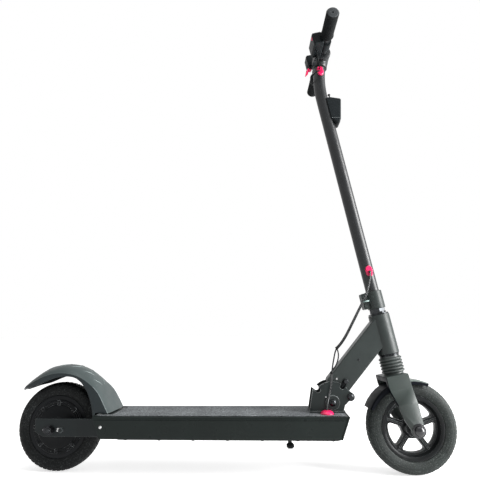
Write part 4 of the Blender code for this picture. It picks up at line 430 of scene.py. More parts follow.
def turned(name, profile, matrix=WORLD, sides=ROUND):
    """A solid of revolution about local Z. The profile is a closed ring of (radius, height)."""
    points = []
    rings = []
    for radius, height in profile:
        if radius < 1e-7:
            rings.append([len(points)] * sides)
            points.append((0, 0, height))
            continue
        rings.append(list(range(len(points), len(points) + sides)))
        for step in range(sides):
            angle = 2 * math.pi * step / sides
            points.append((radius * math.cos(angle), radius * math.sin(angle), height))
    faces = []
    for ring, after in zip(rings, rings[1:] + rings[:1]):
        for step in range(sides):
            turn = (step + 1) % sides
            face = list(dict.fromkeys([ring[step], ring[turn], after[turn], after[step]]))
            if len(face) > 2:
                faces.append(face)
    return solid(name, points, faces, matrix)


def mirrored(profile):
    """A profile of (radius, height) followed by its mirror image, backwards."""
    return [*profile, *((radius, -height) for radius, height in reversed(profile))]


def plate(name, outline, low, high, matrix=WORLD, axis="Y"):
    """An outline drawn in XZ and pushed along Y, or drawn in XY and pushed along Z."""

    def at(a, b, h):
        return (a, h, b) if axis == "Y" else (a, b, h)

    count = len(outline)
    points = [at(a, b, low) for a, b in outline] + [at(a, b, high) for a, b in outline]
    faces = [list(range(count)), list(range(count, 2 * count))]
    for i in range(count):
        j = (i + 1) % count
        faces.append([i, j, j + count, i + count])
    return solid(name, points, faces, matrix)


def block(name, size, centre, matrix=WORLD):
    x, y, z = (length / 2 for length in size)
    outline = [(-x, -z), (x, -z), (x, z), (-x, z)]
    outline = [(centre[0] + a, centre[2] + b) for a, b in outline]
    return plate(name, outline, centre[1] - y, centre[1] + y, matrix)


def polar(radius, degrees):
    angle = math.radians(degrees)
    return radius * math.cos(angle), radius * math.sin(angle)


def arc(centre, radius, start, end, steps):
    """Points in a plane from one angle to another, in degrees."""
    spokes = [polar(radius, start + (end - start) * i / steps) for i in range(steps + 1)]
    return [(centre[0] + x, centre[1] + y) for x, y in spokes]


def rounded_rectangle(x0, x1, y0, y1, radius, steps=6):
    left, right, low, high = x0 + radius, x1 - radius, y0 + radius, y1 - radius
    outline = []
    for turn, centre in enumerate(((right, high), (left, high), (left, low), (right, low))):
        outline += arc(centre, radius, 90 * turn, 90 * turn + 90, steps)
    return outline


def through(points, steps):
    """Points on a smooth curve through the given ones, with steps to each span."""
    points = [Vector(point) for point in points]
    ends = [2 * points[0] - points[1], *points, 2 * points[-1] - points[-2]]
    route = []
    for a, b, c, d in zip(ends, ends[1:], ends[2:], ends[3:]):
        for step in range(steps):
            t = step / steps
            bend = (2 * a - 5 * b + 4 * c - d) * t**2 + (3 * b - a - 3 * c + d) * t**3
            route.append((2 * b + (c - a) * t + bend) / 2)
    return [*route, points[-1]]


def between(table, at):
    """A value read from a sorted table of (place, value), on a straight line between its rows."""
    if at <= table[0][0]:
        return table[0][1]
    for (low, start), (high, end) in zip(table, table[1:]):
        if at <= high:
            return start + (end - start) * (at - low) / max(1e-9, high - low)
    return table[-1][1]


def headings(route):
    """The way ahead at each point of a route."""
    ends = zip([route[0], *route[:-1]], [*route[1:], route[-1]])
    return [(after - before).normalized() for before, after in ends]


def sweep(name, route, radius, matrix=WORLD, sides=16):
    """A round tube along a route, with closed ends. The radius may change along it."""
    route = [Vector(point) for point in route]
    radii = radius if isinstance(radius, list) else [radius] * len(route)
    ahead = headings(route)
    side = ahead[0].orthogonal().normalized()
    rings = []
    for centre, forward, reach in zip(route, ahead, radii):
        side = (side - forward * side.dot(forward)).normalized()
        other = forward.cross(side)
        ring = []
        for step in range(sides):
            angle = 2 * math.pi * step / sides
            ring.append(centre + reach * (side * math.cos(angle) + other * math.sin(angle)))
        rings.append(ring)
    return loft(name, rings, matrix)


def baked(obj):
    """The object with its modifiers applied."""
    graph = bpy.context.evaluated_depsgraph_get()
    mesh = bpy.data.meshes.new_from_object(obj.evaluated_get(graph))
    obj.modifiers.clear()
    obj.data = mesh
    return obj


def combine(obj, operation, others):
    for other in others:
        modifier = obj.modifiers.new("join", "BOOLEAN")
        modifier.operation = operation
        modifier.solver = "EXACT"
        modifier.object = other
    baked(obj)
    for other in others:
        bpy.data.objects.remove(other)
    return obj


def cut(obj, *others):
    return combine(obj, "DIFFERENCE", others)


def fuse(obj, *others):
    return combine(obj, "UNION", others)


def joined(obj, *others):
    """One object that holds the others' meshes too, without a Boolean."""
    back = obj.matrix_world.inverted()
    with editing(obj.data) as work:
        for other in others:
            copy = other.data.copy()
            copy.transform(back @ other.matrix_world)
            work.from_mesh(copy)
            bpy.data.objects.remove(other)
    return obj


def soften(obj, width, segments=2, angle=38):
    """Rounds the edges sharper than an angle in degrees."""
    modifier = obj.modifiers.new("soften", "BEVEL")
    modifier.width = width
    modifier.segments = segments
    modifier.limit_method = "ANGLE"
    modifier.angle_limit = math.radians(angle)
    return baked(obj)


def clean(obj, angle=0.3):
    """Merges doubled points and the flat faces that a Boolean or a triangulation split."""
    limit = math.radians(angle)
    with editing(obj.data) as work:
        bmesh.ops.remove_doubles(work, verts=work.verts, dist=2e-6)
        bmesh.ops.dissolve_limit(work, angle_limit=limit, verts=work.verts, edges=work.edges)
    return obj


def piece(obj, body, slot, nodes=(), finish=None, angle=32):
    """Finishes a piece: smooth faces, its material, its body and the CAD nodes it stands for.

    A piece that blends between two bodies gives no body of its own.
    """
    for polygon in obj.data.polygons:
        polygon.use_smooth = True
    obj.data.set_sharp_from_angle(angle=math.radians(angle))
    obj.data.materials.clear()
    obj.data.materials.append(FINISHES[finish or slot])
    if body:
        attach(obj, body)
    if nodes:
        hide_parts(*nodes)
        dressed.update(nodes)
    return obj


dressed = set()


def trim(name, route, radius, body, slot, finish, sides=10):
    """A thin line along a route, which stands for no node."""
    piece(sweep(name, route, radius, sides=sides), body, slot, (), finish)


def second_finish(obj, finish, chosen):
    """Gives another finish to the faces that a test chooses."""
    obj.data.materials.append(FINISHES[finish])
    for polygon in obj.data.polygons:
        polygon.material_index = int(chosen(polygon))


def body_of(node):
    bodies = frame["record"]["behaviour"]["bodies"]
    return next(body for body, nodes in bodies.items() if node in nodes)


def slot_of(node):
    parts = frame["record"]["subparts"]
    return next(part["material_slot"] for part in parts if part["node"] == node)


def eased(node, width, segments=2, finish=None):
    """A node's own shape with its edges rounded."""
    mesh = NODES[node].data.copy()
    mesh.materials.clear()
    obj = soften(clean(new_object(node + "_eased", mesh)), width, segments)
    piece(obj, body_of(node), slot_of(node), (node,), finish)
    obj.modifiers.new("even_shading", "WEIGHTED_NORMAL").keep_sharp = True
    return obj


# Nodes that keep their own shape: their names, their edges' width and steps, and their finish.
EASED = (
    ("grip_tape", 0.0003, 2, None),
    ("bottom_cover kickstand_leg power_button", 0.0004, 2, None),
    ("axle_nut_right axle_nut_left kickstand_bracket", 0.0005, 2, None),
    ("throttle_lever brake_lever headlight_lens", 0.0005, 2, None),
    ("deck_channel", 0.0006, 2, None),
    ("deck_grommet", 0.0006, 3, None),
    ("front_cap kickstand_foot", 0.0008, 2, None),
    ("stem_grommet_low stem_grommet_top", 0.0008, 3, None),
    ("headlight_housing", 0.0009, 3, None),
    ("stem_clamp", 0.0010, 3, None),
    ("fold_arm display_housing brake_housing", 0.0012, 3, None),
    # These steel nodes take steel painted dark: a painted reflection.
    ("rear_axle front_axle lock_pin headset_cup_bottom", 0.0004, 2, "blackened_steel"),
    ("steerer_tube", 0.0004, 2, "blackened_steel"),
    ("pivot_bolt stop_bolt headset_nut", 0.0005, 2, "blackened_steel"),
    ("dropout_right dropout_left", 0.0007, 2, "plate_paint"),
    ("hinge_bracket", 0.0008, 2, "hinge_paint"),
    ("front_nut_left front_nut_right", 0.0008, 3, "gloss_black"),
)


def eased_nodes():
    for names, width, segments, finish in EASED:
        for node in names.split():
            eased(node, width, segments, finish)


# Small fasteners


def screw_head(name, place, aim, radius, height, body, slot="dark_steel", socket=True):
    """A button head with a hexagon socket, on a face whose outward normal is aim."""
    up = Vector(aim).normalized()
    matrix = Matrix.Translation(place) @ up.to_track_quat("Z", "Y").to_matrix().to_4x4()
    profile = [(0, -height * 0.3), (radius, -height * 0.3), (radius, height * 0.25)]
    for angle, lift in ((25, 0.55), (50, 0.80), (72, 0.95)):
        profile.append((polar(radius, angle)[0], height * lift))
    profile.append((0, height))
    obj = turned(name, profile, matrix, 32)
    if socket:
        low, high, wide = height * 0.35, height * 2, radius * 0.48
        hexagon = [(0, low), (wide, low), (wide, high), (0, high)]
        cut(obj, turned(name + "_socket", hexagon, matrix, 6))
    return piece(obj, body, slot)


DECK_FACE = corners("deck_channel")[1].y
BOLT_FACE = corners("pivot_bolt")[1].y
DROPOUT_FACE = 0.0620
PLATE_FACE = 0.0293
ARM_FACE = 0.0220
RIVET = (PIVOT.x - 0.0160, PLATE_FACE, PIVOT.z + 0.0135)
# Screws with one on each side: their name, the left one's place, their radius, height and body,
# and where they aren't the usual ones their slot and whether they have a socket.
SIDE_SCREWS = (
    ("side_screw", (-0.3097, DECK_FACE, 0.1183), 0.0036, 0.0016, "frame", "steel"),
    ("torque_bolt", (-0.4236, DROPOUT_FACE, 0.1089), 0.0048, 0.0026, "frame", "steel"),
    ("dropout_screw", (-0.4615, DROPOUT_FACE, 0.1090), 0.0022, 0.0014, "frame", "steel"),
    ("hinge_rivet", RIVET, 0.0019, 0.0010, "frame", "steel", False),
    ("pivot_cap", (PIVOT.x, BOLT_FACE, PIVOT.z), 0.0050, 0.0016, "frame"),
    ("arm_screw", (0.3260, ARM_FACE, 0.2681), 0.0030, 0.0014, "arm"),
    ("arm_stud", (0.2685, ARM_FACE, 0.2230), 0.0024, 0.0012, "arm", "steel"),
)
BOTTOM_SCREWS = 7
BOTTOM_SCREW_START = -0.249
BOTTOM_SCREW_PITCH = 0.0827
BOTTOM_SCREW_Y = 0.0705


def screws():
    """The screws on the scooter's sides and those of the deck's bottom cover."""
    cover = corners("bottom_cover")[0].z
    for side, hand in SIDES:
        for name, (x, y, z), *size in SIDE_SCREWS:
            screw_head(f"{name}_{hand}", (x, side * y, z), (0, side, 0), *size)
        for screw in range(BOTTOM_SCREWS):
            place = (BOTTOM_SCREW_START + screw * BOTTOM_SCREW_PITCH, side * BOTTOM_SCREW_Y, cover)
            name = f"bottom_screw_{screw}_{hand}"
            screw_head(name, place, (0, 0, -1), 0.0042, 0.0022, "frame")


# Wheels

# Half of a tyre's section as (across, radius), from the middle of its tread to its bead.
TYRE_SECTION = (
    (0.0000, 0.1080), (0.0022, 0.1080), (0.0042, 0.1080), (0.0062, 0.1079), (0.0084, 0.1078),
    (0.0086, 0.1077), (0.0108, 0.1074), (0.0126, 0.1071), (0.0144, 0.1066), (0.0160, 0.1061),
    (0.0176, 0.1055), (0.0190, 0.1047), (0.0203, 0.1037), (0.0214, 0.1026), (0.0226, 0.1008),
    (0.0229, 0.0998), (0.0240, 0.0984), (0.0246, 0.0962), (0.0242, 0.0952), (0.0248, 0.0940),
    (0.0249, 0.0905), (0.0243, 0.0898), (0.0247, 0.0890), (0.0242, 0.0862), (0.0235, 0.0838),
    (0.0228, 0.0832), (0.0222, 0.0808), (0.0212, 0.0786), (0.0203, 0.0773), (0.0176, 0.0769),
)
TYRE_BEAD = ((0.0170, 0.0730), (0.0, 0.0735), (-0.0170, 0.0730))
TREAD_HALF = 0.0215
TREAD_EDGE_R = 0.1015
TOOTH_EDGE_R = 0.0980
TOOTH_DEPTH = 0.0006


def tread_depth(turn, across):
    """How deep the tread is cut at a place round the wheel, in turns, and across it."""
    reach = abs(across) / TREAD_HALF
    if reach > 1:
        return 0.0
    if 0.40 < reach < 0.50:
        return TREAD_DEPTH * 0.8
    side = 0.5 if across < 0 else 0.0
    phase = (turn * TREAD_PITCHES + side + reach * 0.95) % 1.0
    return TREAD_DEPTH if reach > 0.16 and phase < 0.27 else 0.0


def tyre(name, node, matrix, body, finish):
    """A tyre with slanted tread blocks, a toothed shoulder and rings on its walls."""
    section = [(-across, radius) for across, radius in TYRE_SECTION[:0:-1]]
    section += [*TYRE_SECTION, *TYRE_BEAD]
    columns = TREAD_PITCHES * TREAD_COLUMNS
    rings = []
    for column in range(columns):
        turn = column / columns
        angle = 2 * math.pi * turn
        tooth = TOOTH_DEPTH if column // 2 % 2 else 0.0
        ring = []
        for across, radius in section:
            if radius > TREAD_EDGE_R:
                radius -= tread_depth(turn, across)
            elif radius > TOOTH_EDGE_R:
                across -= math.copysign(tooth, across)
            ring.append((radius * math.cos(angle), radius * math.sin(angle), across))
        rings.append(ring)
    obj = loft(name, rings, loop=True)
    obj.data.transform(matrix)
    piece(obj, body, "tyre_rubber", (node,), finish, 28)


def window_outline(centre):
    """A gap between two spokes, wider outside, with rounded corners."""
    gap = 180 / SPOKES
    fillet = WINDOW_CORNER * 0.7
    wide = WINDOW_OUT_R - WINDOW_CORNER
    narrow = WINDOW_IN_R + fillet
    outer = gap - math.degrees(math.asin(SPOKE_WIDTH / 2 / wide))
    inner = gap - math.degrees(math.asin(SPOKE_WIDTH / 2 / narrow))
    corner = math.degrees(WINDOW_CORNER / wide)
    inner_corner = math.degrees(fillet / narrow)
    top = [(WINDOW_OUT_R, (outer - corner) * (step / 7 - 1)) for step in range(15)]
    side = []
    for step in range(1, 6):
        across, along = polar(1, 18 * step)
        side.append((wide + WINDOW_CORNER * across, outer - corner + corner * along))
    for step in range(6):
        across, along = polar(1, 18 * step)
        side.append((narrow - fillet * along, inner - inner_corner * (1 - across)))
    return [polar(radius, centre + angle) for radius, angle in [*top, *mirrored(side)]]


def rim_outside():
    """The section of the rim's outer side, from its left edge to its right."""
    seat = RIM_HALF - 0.0025
    half = [
        (RIM_FLANGE_R - 0.004, RIM_HALF), (RIM_FLANGE_R - 0.0008, RIM_HALF),
        (RIM_FLANGE_R, RIM_HALF - 0.0008), (RIM_FLANGE_R - 0.0002, seat),
        (RIM_SEAT_R, seat),
    ]
    return mirrored(half)


def front_rim():
    """A cast wheel with five ribbed spokes."""
    barrel = WINDOW_OUT_R + 0.003
    inside = [
        (barrel + 0.009, -RIM_HALF + 0.0010), (barrel + 0.006, -RIM_HALF + 0.0025),
        (barrel + 0.001, -WEB_HALF - 0.001), (barrel - 0.003, -WEB_HALF),
        (HUB_R + 0.005, -WEB_HALF - 0.001), (HUB_R + 0.001, -WEB_HALF - 0.005),
        (HUB_R, -HUB_HALF), (FRONT_BORE_R, -HUB_HALF),
    ]
    obj = turned("front_wheel_casting", [*rim_outside(), *mirrored(inside)], FRONT_WHEEL)
    upright = math.degrees(math.atan2(STEER_AXIS[0], STEER_AXIS[2]))
    wide = 2 * RIM_HALF
    size = (barrel - HUB_R + 0.004, SPOKE_RIB_T, 2 * WEB_HALF + 0.005)
    middle_of_rib = ((barrel + HUB_R) / 2, 0, 0)
    ribs = []
    windows = []
    for spoke in range(SPOKES):
        angle = -90 - upright + spoke * 360 / SPOKES
        outline = window_outline(angle + 180 / SPOKES)
        windows.append(plate(f"window_{spoke}", outline, -wide, wide, FRONT_WHEEL, "Z"))
        turn = FRONT_WHEEL @ Matrix.Rotation(math.radians(angle), 4, "Z")
        ribs.append(block(f"rib_{spoke}", size, middle_of_rib, turn))
    cut(obj, *windows)
    fuse(obj, *ribs)
    soften(clean(obj), 0.0007, 2, 40)
    piece(obj, "front_wheel", "black_paint", ("front_rim",), "rim_paint")


def motor():
    """The hub motor: its shell, the stepped right cover with lugs, and the cover's screws."""
    inner = RIM_SEAT_R - 0.010
    shell = [
        (inner, -RIM_HALF),
        (inner + 0.0042, -RIM_HALF),
        *reversed(rim_outside()),
        (RIM_FLANGE_R - 0.006, RIM_HALF + 0.0005),
        (inner + 0.003, RIM_HALF + 0.0010),
        (COVER_RING_R + 0.004, RIM_HALF + 0.0045),
        (0.030, RIM_HALF + 0.0070), (0.023, RIM_HALF + 0.0085), (0.022, 0.034),
        (REAR_BORE_R, 0.034), (REAR_BORE_R, 0.018), (inner - 0.0005, 0.0135),
        (inner, -0.0165),
    ]
    obj = turned("motor_case", shell, REAR_WHEEL)
    piece(soften(obj, 0.0005, 2, 40), "rear_wheel", "casing", ("motor_shell",))
    face = -RIM_HALF
    edge = inner + 0.0037
    steps = (
        (REAR_BORE_R, 0.0032), (edge, 0.0029), (edge, 0.0), (edge - 0.0012, -0.0022),
        (edge - 0.0030, -0.0027), (edge - 0.0055, -0.0025), (edge - 0.0068, -0.0012),
        (COVER_RING_R + 0.0022, -0.0010), (COVER_RING_R + 0.0010, -0.0032),
        (COVER_RING_R - 0.0004, -0.0044), (COVER_RING_R - 0.0030, -0.0050),
        (COVER_RING_R - 0.0060, -0.0054), (0.0300, -0.0056), (0.0280, -0.0068),
        (0.0240, -0.0070), (0.0220, -0.0090), (0.0210, -0.0138), (REAR_BORE_R, -0.0140),
    )
    cover = turned("motor_cover", [(radius, face + rise) for radius, rise in steps], REAR_WHEEL)
    turns = [
        REAR_WHEEL @ Matrix.Rotation(2 * math.pi * lug / COVER_LUGS, 4, "Z")
        for lug in range(COVER_LUGS)
    ]
    outline = rounded_rectangle(COVER_RING_R - 0.002, edge - 0.002, -LUG_HALF, LUG_HALF, 0.0016)
    top = face - LUG_RISE
    lugs = [plate(f"lug_{i}", outline, top, face, turn, "Z") for i, turn in enumerate(turns)]
    fuse(cover, *lugs)
    soften(clean(cover), 0.0005, 2, 40)
    piece(cover, "rear_wheel", "casing", ("motor_cover_right",), "cover_cast")
    for lug, turn in enumerate(turns):
        place = turn @ Vector((COVER_RING_R + 0.0042, 0, top))
        aim = turn.to_3x3() @ Vector((0, 0, -1))
        screw_head(f"cover_screw_{lug}", place, aim, 0.0022, 0.0012, "rear_wheel")


# Rear fender

# Its sections: the angle round the axle in degrees, the radius of its ridge, of its creases and
# of its edges, and half its width.
FENDER_STATIONS = (
    (139, 0.1392, 0.1376, 0.1350, 0.012), (133, 0.1391, 0.1345, 0.1291, 0.030),
    (119, 0.1421, 0.1295, 0.1172, 0.041), (103, 0.1491, 0.1312, 0.1176, 0.044),
    (85, 0.1544, 0.1345, 0.1254, 0.046), (68, 0.1550, 0.1375, 0.1316, 0.048),
    (53, 0.1500, 0.1395, 0.1264, 0.051), (38, 0.1460, 0.1425, 0.1182, 0.055),
    (24, 0.1453, 0.1438, 0.1120, 0.058), (12, 0.1515, 0.1490, 0.1080, 0.058),
)
FENDER_T = 0.0025
FENDER_STEPS = 8
FENDER_CROWN = ((-1.0, 0.0), (-0.985, 0.02), (-0.93, 0.22), (-0.80, 0.50), (-0.62, 0.72))
FENDER_CROWN += ((-0.42, 0.88), (-0.21, 0.97), (0.0, 1.0))
FENDER_FOOT_Z = 0.1460
FENDER_HEEL_Z = 0.1410
RIB_ROWS = 5
RIB_STEPS = 8
RIB_START = 97
RIB_PITCH = 13.5
RIB_SPAN = 9.5


def round_rear_axle(radius, degrees, y):
    x, z = polar(radius, degrees)
    return REAR_AXLE + Vector((x, y, z))


def fender_point(station, place, inward=0.0):
    """A point of the fender's skin, across its crown from -1 to 1."""
    angle, ridge, crease, _, half = station
    radius = crease + (ridge - crease) * between(FENDER_CROWN, -abs(place)) - inward
    return round_rear_axle(radius, angle, place * half)


def fender_row(station, inward):
    """A section of the fender's skin, from the edge of its right cheek to that of its left."""
    angle, ridge, crease, edge, half = station
    side = half - inward * 0.9
    slim = (angle, ridge, crease, edge, side)
    cheek = [edge + (crease - inward - edge) * step / 5 for step in range(5)]
    crown = [place for place, _ in FENDER_CROWN]
    crown += [-place for place in reversed(crown[:-1])]
    return [
        *(round_rear_axle(radius, angle, -side) for radius in cheek),
        *(fender_point(slim, place, inward) for place in crown),
        *(round_rear_axle(radius, angle, side) for radius in reversed(cheek)),
    ]


def station_at(stations, angle):
    """The fender's section at an angle, between its two nearest stations."""
    for high, low in zip(stations, stations[1:]):
        if low[0] <= angle < high[0]:
            return low.lerp(high, (angle - low[0]) / (high[0] - low[0]))
    raise ValueError(angle)


def rear_fender():
    """A crowned guard over the wheel, with grip ribs where a foot presses it."""
    stations = through(FENDER_STATIONS, FENDER_STEPS)
    rows = [fender_row(s, inward) for inward in (0, FENDER_T) for s in stations]
    count = len(rows[0])
    points = [point for row in rows for point in row]
    under = len(points) // 2
    last = under - count
    faces = []
    for row in range(0, last, count):
        for here in range(row, row + count - 1):
            face = [here, here + 1, here + count + 1, here + count]
            faces += [face, [under + index for index in reversed(face)]]
        for here in (row, row + count - 1):
            faces.append([here, here + count, under + here + count, under + here])
    for row in (0, last):
        for here in range(row, row + count - 1):
            faces.append([here, here + 1, under + here + 1, under + here])
    obj = solid("fender_shell", points, faces)
    pin = Vector(JOINTS["fender_brake"]["pos_m"]).x
    floor_z = corners("rear_fender")[0].z - 0.02
    room = [
        (pin + 0.060, floor_z), (pin + 0.060, FENDER_FOOT_Z), (pin, FENDER_FOOT_Z),
        (pin - 0.016, FENDER_FOOT_Z + 0.0015), (pin - 0.016, FENDER_HEEL_Z),
        (pin - 0.040, FENDER_HEEL_Z), (pin - 0.040, floor_z),
    ]
    cut(obj, plate("fender_room", room, -0.2, 0.2))
    soften(clean(obj, 0.05), 0.0007, 2, 50)
    piece(obj, "fender", "deck_paint", ("rear_fender",), "fender_paint", 40)
    # The cheeks, the faces turned to the sides, are painted darker: painted shade.
    second_finish(obj, "cheek_paint", lambda polygon: abs(polygon.normal.y) > 0.9)
    for side, hand in SIDES:
        # A thin pale line along each crease: a painted highlight.
        crease = [fender_point(s, side * 0.985, 0.0001) for s in stations if 14 < s[0] < 47]
        trim(f"fender_crease_highlight_{hand}", crease, 0.0008, "fender", "deck_paint", "rib_paint")
    # The ribs are real; their pale paint is a painted highlight.
    parts = [i / RIB_STEPS for i in range(RIB_STEPS + 1)]
    radii = [0.0002 + 0.0011 * math.sin(math.pi * (0.06 + 0.88 * t)) for t in parts]
    for rib in range(RIB_ROWS):
        start = RIB_START - rib * RIB_PITCH
        places = [(station_at(stations, start + RIB_SPAN * t), 0.12 + 0.42 * t) for t in parts]
        for side, hand in SIDES:
            route = [fender_point(station, side * reach, 0.0003) for station, reach in places]
            trim(f"fender_rib_{rib}_{hand}", route, radii, "fender", "deck_paint", "rib_paint")


# Fold hinge and arm

BOSS_R = 0.0170
BOSS_LIP_R = 0.0009
# The dark sheet of painted shade in the lock pin's slot: its gap round the pin and half its width.
SHEET_GAP = 0.0003
SHEET_HALF = 0.0202


def boss_lip_highlights():
    """Painted highlights along the upper rounded edges of the bosses on the hinge's plates."""
    for side, hand in SIDES:
        route = [(a, side * PLATE_FACE, b) for a, b in arc(PIVOT.xz, BOSS_R, 112, 28, 18)]
        slot = slot_of("hinge_bracket")
        # Painted pale on the upper arc only: a painted highlight.
        trim(f"boss_lip_{hand}", route, BOSS_LIP_R, "frame", slot, "edge_paint", 16)


def slot_shade_sheet():
    """A dark rubber sheet in the lock pin's slot in the arm, round the pin: painted shade where the slot shows
    dark.
    """
    slide = JOINTS["lock_slide"]
    axis = Vector(slide["axis"])
    travel = slide["range_m"][1]
    low, high = corners("lock_pin")
    width = high.z - low.z + 2 * SHEET_GAP
    slot_frame = local_frame(middle("lock_pin") + axis * travel / 2, axis, (0, 1, 0))
    outline = arc((0, travel / 2), width / 2, 0, 180, 12)
    outline += arc((0, -travel / 2), width / 2, 180, 360, 12)
    obj = plate("slot_shade_sheet", outline, -SHEET_HALF, SHEET_HALF, slot_frame)
    piece(soften(obj, 0.0006), "arm", "rubber")


def arm():
    """The head tube's sleeve between its cups, and the headset's cap."""
    low = corners("headset_cup_bottom", HEAD)[1].z
    high = corners("headset_cup_top", HEAD)[0].z
    half = [(0.0255, 0.0004), (HEAD_R - 0.0008, 0.0004), (HEAD_R, 0.0012)]
    sleeve = [(radius, low + rise) for radius, rise in half]
    sleeve += [(radius, high - rise) for radius, rise in reversed(half)]
    piece(turned("head_sleeve", sleeve, HEAD), "arm", "arm_paint")
    cap = [(0.0192, 0.0), (0.0250, 0.0), (0.0255, 0.0006), (0.0253, 0.0030), (0.0235, 0.0037)]
    cap.append((0.0192, 0.0037))
    obj = turned("headset_cap", [(radius, high + rise) for radius, rise in cap], HEAD)
    # The cap is steel painted dark: a painted reflection.
    piece(obj, "arm", "steel", ("headset_cup_top",), "blackened_steel")


# Stem and handlebar


def stem_point(up):
    """The stem's middle at a height up the steering axis."""
    low = corners("stem_tube", STEER)[0].z + STEM_STRAIGHT
    if up <= low:
        return Vector((0, 0, up))
    turn = math.asin(min(1.0, (up - low) / STEM_BEND_R))
    return Vector((STEM_BEND_R * (1 - math.cos(turn)), 0, up))


def stem_route(start, end, step=0.012):
    count = max(2, math.ceil((end - start) / step))
    return [stem_point(start + (end - start) * i / count) for i in range(count + 1)]


BAR = middle("handlebar_tube", STEER)
BAR_AXIS = STEER @ Matrix.Translation(BAR) @ SIDEWAYS
BAR_END = 0.1846
BAR_GAP = 0.0003
STEM_END = 0.012
COLLAR_R = 0.0212
COLLAR_LOW = 0.034
COLLAR_TOP = 0.004


def steering():
    """The stem, the clamp that holds the bar, and the bar."""
    foot = corners("stem_tube", STEER)[0].z
    obj = sweep("stem", stem_route(foot, BAR.z - STEM_END), STEM_R, STEER, 64)
    piece(obj, "steering", "black_paint", ("stem_tube",))
    route = stem_route(BAR.z - COLLAR_LOW, BAR.z - COLLAR_TOP)
    collar = sweep("bar_collar", route, COLLAR_R, STEER, 64)
    half = [
        (BAR_R + BAR_GAP, -0.030), (0.0195, -0.030), (0.0222, -0.0285), (0.0235, -0.0255),
        (0.0235, -0.0190), (0.0229, -0.0180),
    ]
    barrel = turned("bar_barrel", mirrored(half), BAR_AXIS, 64)
    soften(clean(fuse(collar, barrel)), 0.0006, 2, 45)
    piece(collar, "steering", "black_paint", ("bar_clamp",))
    end = [(BAR_R - 0.002, -BAR_END), (BAR_R, -BAR_END)]
    bar = turned("bar_tube", mirrored(end), BAR_AXIS, 48)
    piece(bar, "steering", "black_paint", ("handlebar_tube",))


def grip_profile():
    """Half a grip's section, from the hole in its end cap along its ribs to its flange."""
    inner = BAR_HALF - GRIP_L
    profile = [
        (0.0022, BAR_HALF - 0.004), (0.0022, BAR_HALF), (0.0120, BAR_HALF + 0.0003),
        (0.0150, BAR_HALF - 0.0006), (GRIP_R, BAR_HALF - 0.0035),
        (GRIP_R, BAR_HALF - 0.0085), (GRIP_R - 0.0012, BAR_HALF - 0.0095),
    ]
    start = BAR_HALF - 0.0105
    end = inner + 0.0095
    pitch = (start - end) / (GRIP_RIBS - 1)
    for rib in range(GRIP_RIBS):
        at = start - (start - end) * rib / (GRIP_RIBS - 1)
        profile += [
            (GRIP_R - 0.0011, at), (GRIP_R - 0.0001, at - pitch * 0.25),
            (GRIP_R - 0.0001, at - pitch * 0.6),
        ]
    return profile + [
        (GRIP_R - 0.0012, inner + 0.0070), (GRIP_R + 0.0010, inner + 0.0060),
        (GRIP_R + 0.0013, inner + 0.0030), (GRIP_R + 0.0004, inner + 0.0004),
        (BAR_R + BAR_GAP, inner), (BAR_R + BAR_GAP, BAR_HALF - 0.005),
        (0.0022, BAR_HALF - 0.005),
    ]


def grips():
    for side, hand in SIDES:
        profile = grip_profile()
        if side < 0:
            profile = [(radius, -along) for radius, along in reversed(profile)]
        obj = turned("grip_sleeve_" + hand, profile, BAR_AXIS, 72)
        knurl(obj)
        piece(obj, "steering", "rubber", ("grip_" + hand,), None, 40)
        second_finish(obj, "cap_grey", lambda face: abs(face.center.z) > BAR_HALF - 0.0012)


def knurl(obj):
    """Slanted flutes round a grip's middle."""
    low = BAR_HALF - GRIP_L + 0.012
    high = BAR_HALF - 0.013
    for vertex in obj.data.vertices:
        x, y, z = vertex.co
        radius = math.hypot(x, y)
        if radius < GRIP_R - 0.002 or not low < abs(z) < high:
            continue
        wave = math.sin(GRIP_FLUTES * math.atan2(y, x) + FLUTE_SLANT * z)
        factor = 1 - FLUTE_DEPTH * max(0.0, wave) / radius
        vertex.co.x *= factor
        vertex.co.y *= factor


DISPLAY = (-0.0240, -0.0650, 0.0200)
SCREEN_LONG = 0.0270
SCREEN_WIDE = 0.0105
MARK_SIZE = (0.0042, 0.0010, 0.0016)
MARK_PITCH = 0.0075


def display():
    """A blank screen on the display's top, and three plain marks on its outer side."""
    x, y, z = BAR + Vector(DISPLAY)
    wide, long = SCREEN_WIDE, SCREEN_LONG
    outline = rounded_rectangle(x - wide, x + wide, y - long, y + long, 0.004)
    screen = plate("display_screen", outline, z - 0.0002, z + 0.0007, STEER, "Z")
    piece(soften(screen, 0.0004), "steering", "clear_plastic", (), "screen_glass")
    for mark in range(3):
        centre = (x - 0.0085 + mark * MARK_PITCH, y - 0.0331, z - 0.0032)
        spot = block(f"display_mark_{mark}", MARK_SIZE, centre, STEER)
        piece(soften(spot, 0.0004), "steering", "clear_plastic", (), "pale_mark")


LIGHT_SEAM = ((0.0100, 0.9462), (0.0220, 0.9437), (0.0335, 0.9412))


def light_seams():
    """A painted highlight line along each side of the headlight, where its chin joins it."""
    for (_, hand), corner in zip(SIDES, corners("headlight_housing", HEAD)):
        seam = [HEAD @ Vector((ahead, corner.y, up)) for ahead, up in LIGHT_SEAM]
        route = through(seam, 4)
        # The seam line is painted pale: a painted highlight.
        trim(f"light_seam_{hand}", route, 0.0005, "steering", "black_plastic", "edge_paint", 8)


# Cords

